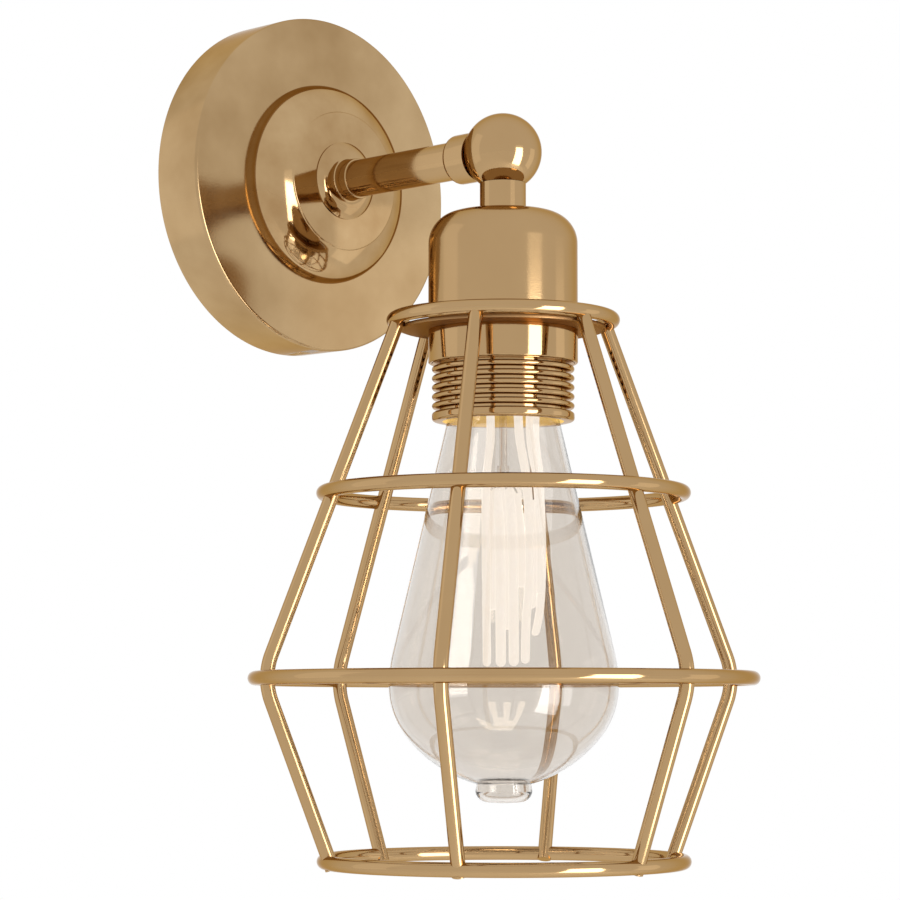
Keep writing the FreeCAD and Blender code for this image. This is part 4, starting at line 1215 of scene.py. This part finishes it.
@dataclass
class Filament(Assembly):
    """The filament's strands, thick with their own light. The back_ lengths are in millimetres."""

    body: str = "bulb"
    slot: str = "glowing_filament"
    facing: float = math.radians(-45)
    sides: int = 16
    cap_steps: int = 5
    cap_least: float = 0.02
    smoothing: int = 3
    corner_cut: float = 0.25
    back_depth: float = 3.7
    back_radius: float = 0.95
    back_top: float = -100.0
    back_ends: tuple[Spot, ...] = (
        (-4.6, -142.0), (-2.7, -125.0), (-0.8, -142.0), (1.0, -130.0), (2.9, -142.0),
        (4.6, -118.0), (7.1, -120.0), (8.6, -124.0), (10.4, -126.0),
    )

    def build(self) -> None:
        """Make the strands that are seen, and the hotter ones behind that the glass mirrors."""
        self.make_strands("filament_strands", list(STRANDS.values()), FILAMENT)
        self.make_strands("filament_far_strands", self.back_strands(), HOT_FILAMENT)

    def back_strands(self) -> list[Strand]:
        """The straight strands at the back.

        Returns:
            The strands, from left to right.
        """
        return [
            Strand(self.back_depth, self.back_radius, ((across, self.back_top), (across, end)))
            for across, end in self.back_ends
        ]

    def make_strands(self, name: str, strands: Sequence[Strand], finish: Finish) -> None:
        """Make some strands in one mesh.

        Args:
            name: the piece's name.
            strands: the strands.
            finish: their finish.
        """
        bm = bmesh.new()
        for strand in strands:
            self.sweep(bm, strand)
        matrix = Spindle.LAMP.matrix @ Matrix.Rotation(self.facing, 4, "Z")
        bmesh.ops.transform(bm, matrix=matrix, verts=bm.verts)
        self.add(finish_mesh(bm, name), "filament", finish)

    def rounded(self, run: list[Vector]) -> list[Vector]:
        """Cut a run's corners again and again.

        Args:
            run: the corners.

        Returns:
            A smoother run with the same ends.
        """
        near, far = self.corner_cut, 1 - self.corner_cut
        for _ in range(self.smoothing):
            inner = []
            for one, other in zip(run, run[1:]):
                inner += [one.lerp(other, near), one.lerp(other, far)]
            run = [run[0], *inner[1:-1], run[-1]]
        return run

    def cap(self, end: Vector, before: Vector, radius: float) -> list[tuple[Vector, float]]:
        """The stops of a round cap, from its tip to the strand's end.

        Args:
            end: the strand's end.
            before: the stop before the end.
            radius: the strand's radius.

        Returns:
            Each stop's place and its share of the radius.
        """
        out = (end - before).normalized() * radius
        turns = [math.pi / 2 * (1 - step / self.cap_steps) for step in range(self.cap_steps)]
        return [
            (end + out * math.sin(turn), max(math.cos(turn), self.cap_least)) for turn in turns
        ]

    def sweep(self, bm: bmesh.types.BMesh, strand: Strand) -> None:
        """Draw a circle along a strand's run, with a round cap at each end.

        Args:
            bm: the bmesh to add to.
            strand: the strand.
        """
        radius = strand.radius * MM
        corners = [Vector((across, strand.depth, level)) * MM for across, level in strand.run]
        run = self.rounded(corners)
        stops = self.cap(run[0], run[1], radius)
        stops += [(point, 1.0) for point in run]
        stops += self.cap(run[-1], run[-2], radius)[::-1]
        verts = bmesh.ops.create_circle(bm, segments=self.sides, radius=radius)["verts"]
        edges = list(dict.fromkeys(edge for vert in verts for edge in vert.link_edges))
        first = edges
        place, share = Vector((0.0, 0.0, 0.0)), 1.0
        for index, (stop, new_share) in enumerate(stops):
            if index:
                verts, edges = extrude_loop(bm, edges)
            bmesh.ops.translate(bm, verts=verts, vec=stop - place)
            grow = new_share / share
            about = Matrix.Translation(-stop)
            bmesh.ops.scale(bm, verts=verts, vec=(grow, grow, 1.0), space=about)
            place, share = stop, new_share
        bmesh.ops.holes_fill(bm, edges=first + edges, sides=0)


# ---- studio ----


@dataclass(frozen=True)
class Panel:
    """A softbox, by how it looks from the bulb's neck, with its angles in degrees.

    Azimuth is the way to its middle, counterclockwise from +X. Top and bottom are the elevations
    of its edges. Brightness is 1 for the room's own. A panel may light the bulb's glass alone.
    """

    name: str
    azimuth: float
    width: float
    top: float
    bottom: float
    brightness: float
    glass_only: bool = False
    distance: float = 1.3


PANELS: tuple[Panel, ...] = (
    Panel("front_low", 273.8, 24.0, 7.2, -62.0, 5.0),
    Panel("front_middle", 273.8, 25.5, 9.0, -40.0, 0.7),
    Panel("front_high", 273.8, 25.0, 14.0, -40.0, 0.22),
    Panel("right", 322.0, 20.0, 10.0, -30.0, 0.3),
    Panel("left", 135.0, 30.0, 40.0, -20.0, 0.15),
    Panel("glass_left", 176.0, 25.0, 40.0, -18.0, 1.8, True),
    Panel("glass_right", 297.0, 34.0, 50.0, 22.0, 1.3, True),
    Panel("glass_belly", 279.0, 34.0, 8.0, -28.0, 2.5, True),
)


@dataclass
class Studio:
    """White room, softboxes and camera."""

    backdrop: Triple = (1.0, 1.0, 1.0)
    room_light: float = 0.85
    room_view: float = 0.15  # what the room gains where it is seen, up to plain white
    floor_level: float = -0.9
    floor_half: float = 6.0
    floor_colour: Triple = (0.9, 0.9, 0.9)
    floor_roughness: float = 0.9
    floor_view: float = 0.25
    aim_level: float = -0.055
    lens: float = 121.096
    sensor: float = 36.0
    camera_place: Triple = (-0.6073, -0.6777, -0.1582)
    camera_tilt: float = math.radians(95.0)
    camera_turn: float = math.radians(-45.0)

    def build(self) -> None:
        """Make the world, the floor, the lamps and the camera."""
        scene = bpy.context.scene
        scene.view_settings.view_transform = "Standard"
        self.make_world(scene)
        self.make_floor()
        self.make_lamps()
        self.make_camera(scene)

    def make_world(self, scene: bpy.types.Scene) -> None:
        """A white room, plain white where it is seen and a little dimmer as a light.

        Args:
            scene: the scene.
        """
        world = bpy.data.worlds.new("white_room")
        scene.world = world
        world.use_nodes = True
        graph = Graph(world.node_tree)
        strength = graph.in_view() * self.room_view + self.room_light
        inputs = {"Color": (*self.backdrop, OPAQUE), "Strength": strength}
        shader = graph.node("ShaderNodeBackground", inputs=inputs)
        graph.node("ShaderNodeOutputWorld", inputs={"Surface": shader})

    def make_floor(self) -> None:
        """A pale floor that keeps the light's shadow."""
        bm = bmesh.new()
        bmesh.ops.create_grid(bm, x_segments=1, y_segments=1, size=self.floor_half)
        bmesh.ops.translate(bm, verts=bm.verts, vec=(0.0, 0.0, self.floor_level))
        floor = finish_mesh(bm, "floor")
        material = bpy.data.materials.new("pale_floor")
        material.use_nodes = True
        graph = Graph(material.node_tree)
        inputs = {
            "Base Color": (*self.floor_colour, OPAQUE),
            "Roughness": self.floor_roughness,
            "Emission Color": (*self.backdrop, OPAQUE),
            "Emission Strength": graph.in_view() * self.floor_view,
        }
        shader = graph.node("ShaderNodeBsdfPrincipled", inputs=inputs)
        graph.node("ShaderNodeOutputMaterial", inputs={"Surface": shader})
        floor.data.materials.append(material)

    def make_lamps(self) -> None:
        """Every softbox: those in front, the dim ones at the sides, and those for the glass."""
        for panel in PANELS:
            self.softbox(panel)

    def softbox(self, panel: Panel) -> None:
        """One area lamp that faces the bulb's neck.

        Args:
            panel: the panel.
        """
        angles = (panel.azimuth, panel.width, panel.top, panel.bottom)
        azimuth, width, top, bottom = (math.radians(angle) for angle in angles)
        rise = (top + bottom) / 2
        flat = Vector((math.cos(azimuth), math.sin(azimuth), 0.0)) * math.cos(rise)
        away = (flat + Vector((0.0, 0.0, math.sin(rise)))) * panel.distance
        lamp = bpy.data.lights.new(panel.name, "AREA")
        lamp.shape = "RECTANGLE"
        lamp.size = 2 * panel.distance * math.tan(width / 2)
        lamp.size_y = 2 * panel.distance * math.tan((top - bottom) / 2)
        lamp.energy = panel.brightness * math.pi * lamp.size * lamp.size_y
        made = bpy.data.objects.new(panel.name, lamp)
        made.location = Vector((0.0, LAMP_Y, self.aim_level)) + away
        made.rotation_euler = (-away).to_track_quat("-Z", "Y").to_euler()
        bpy.context.scene.collection.objects.link(made)
        if panel.glass_only:
            lit = bpy.data.collections.new(panel.name)
            lit.objects.link(bpy.data.objects[Bulb.shell])
            made.light_linking.receiver_collection = lit

    def make_camera(self, scene: bpy.types.Scene) -> None:
        """The photograph's camera.

        Args:
            scene: the scene.
        """
        data = bpy.data.cameras.new("photo_camera")
        data.lens, data.sensor_width = self.lens, self.sensor
        camera = bpy.data.objects.new("photo_camera", data)
        camera.location = self.camera_place
        camera.rotation_euler = (self.camera_tilt, 0.0, self.camera_turn)
        scene.collection.objects.link(camera)
        scene.camera = camera


def dress_nodes() -> None:
    """Give every node that stays in view its finish."""
    for finish, names in FINISHED_NODES:
        for name in names:
            materials = frame["nodes"][name].data.materials
            materials.clear()
            materials.append(finish.material())
            log.info("%s: %s", name, finish.label)


def main() -> None:
    """Build and dress the light, then the studio."""
    logging.basicConfig(level=logging.INFO, format="%(message)s")
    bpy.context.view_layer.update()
    dress_nodes()
    for assembly in (WallSide(), Head(), ClampRing(), Cage(), Bulb(), Filament()):
        assembly.build()
    Studio().build()


if __name__ == "__main__":
    main()
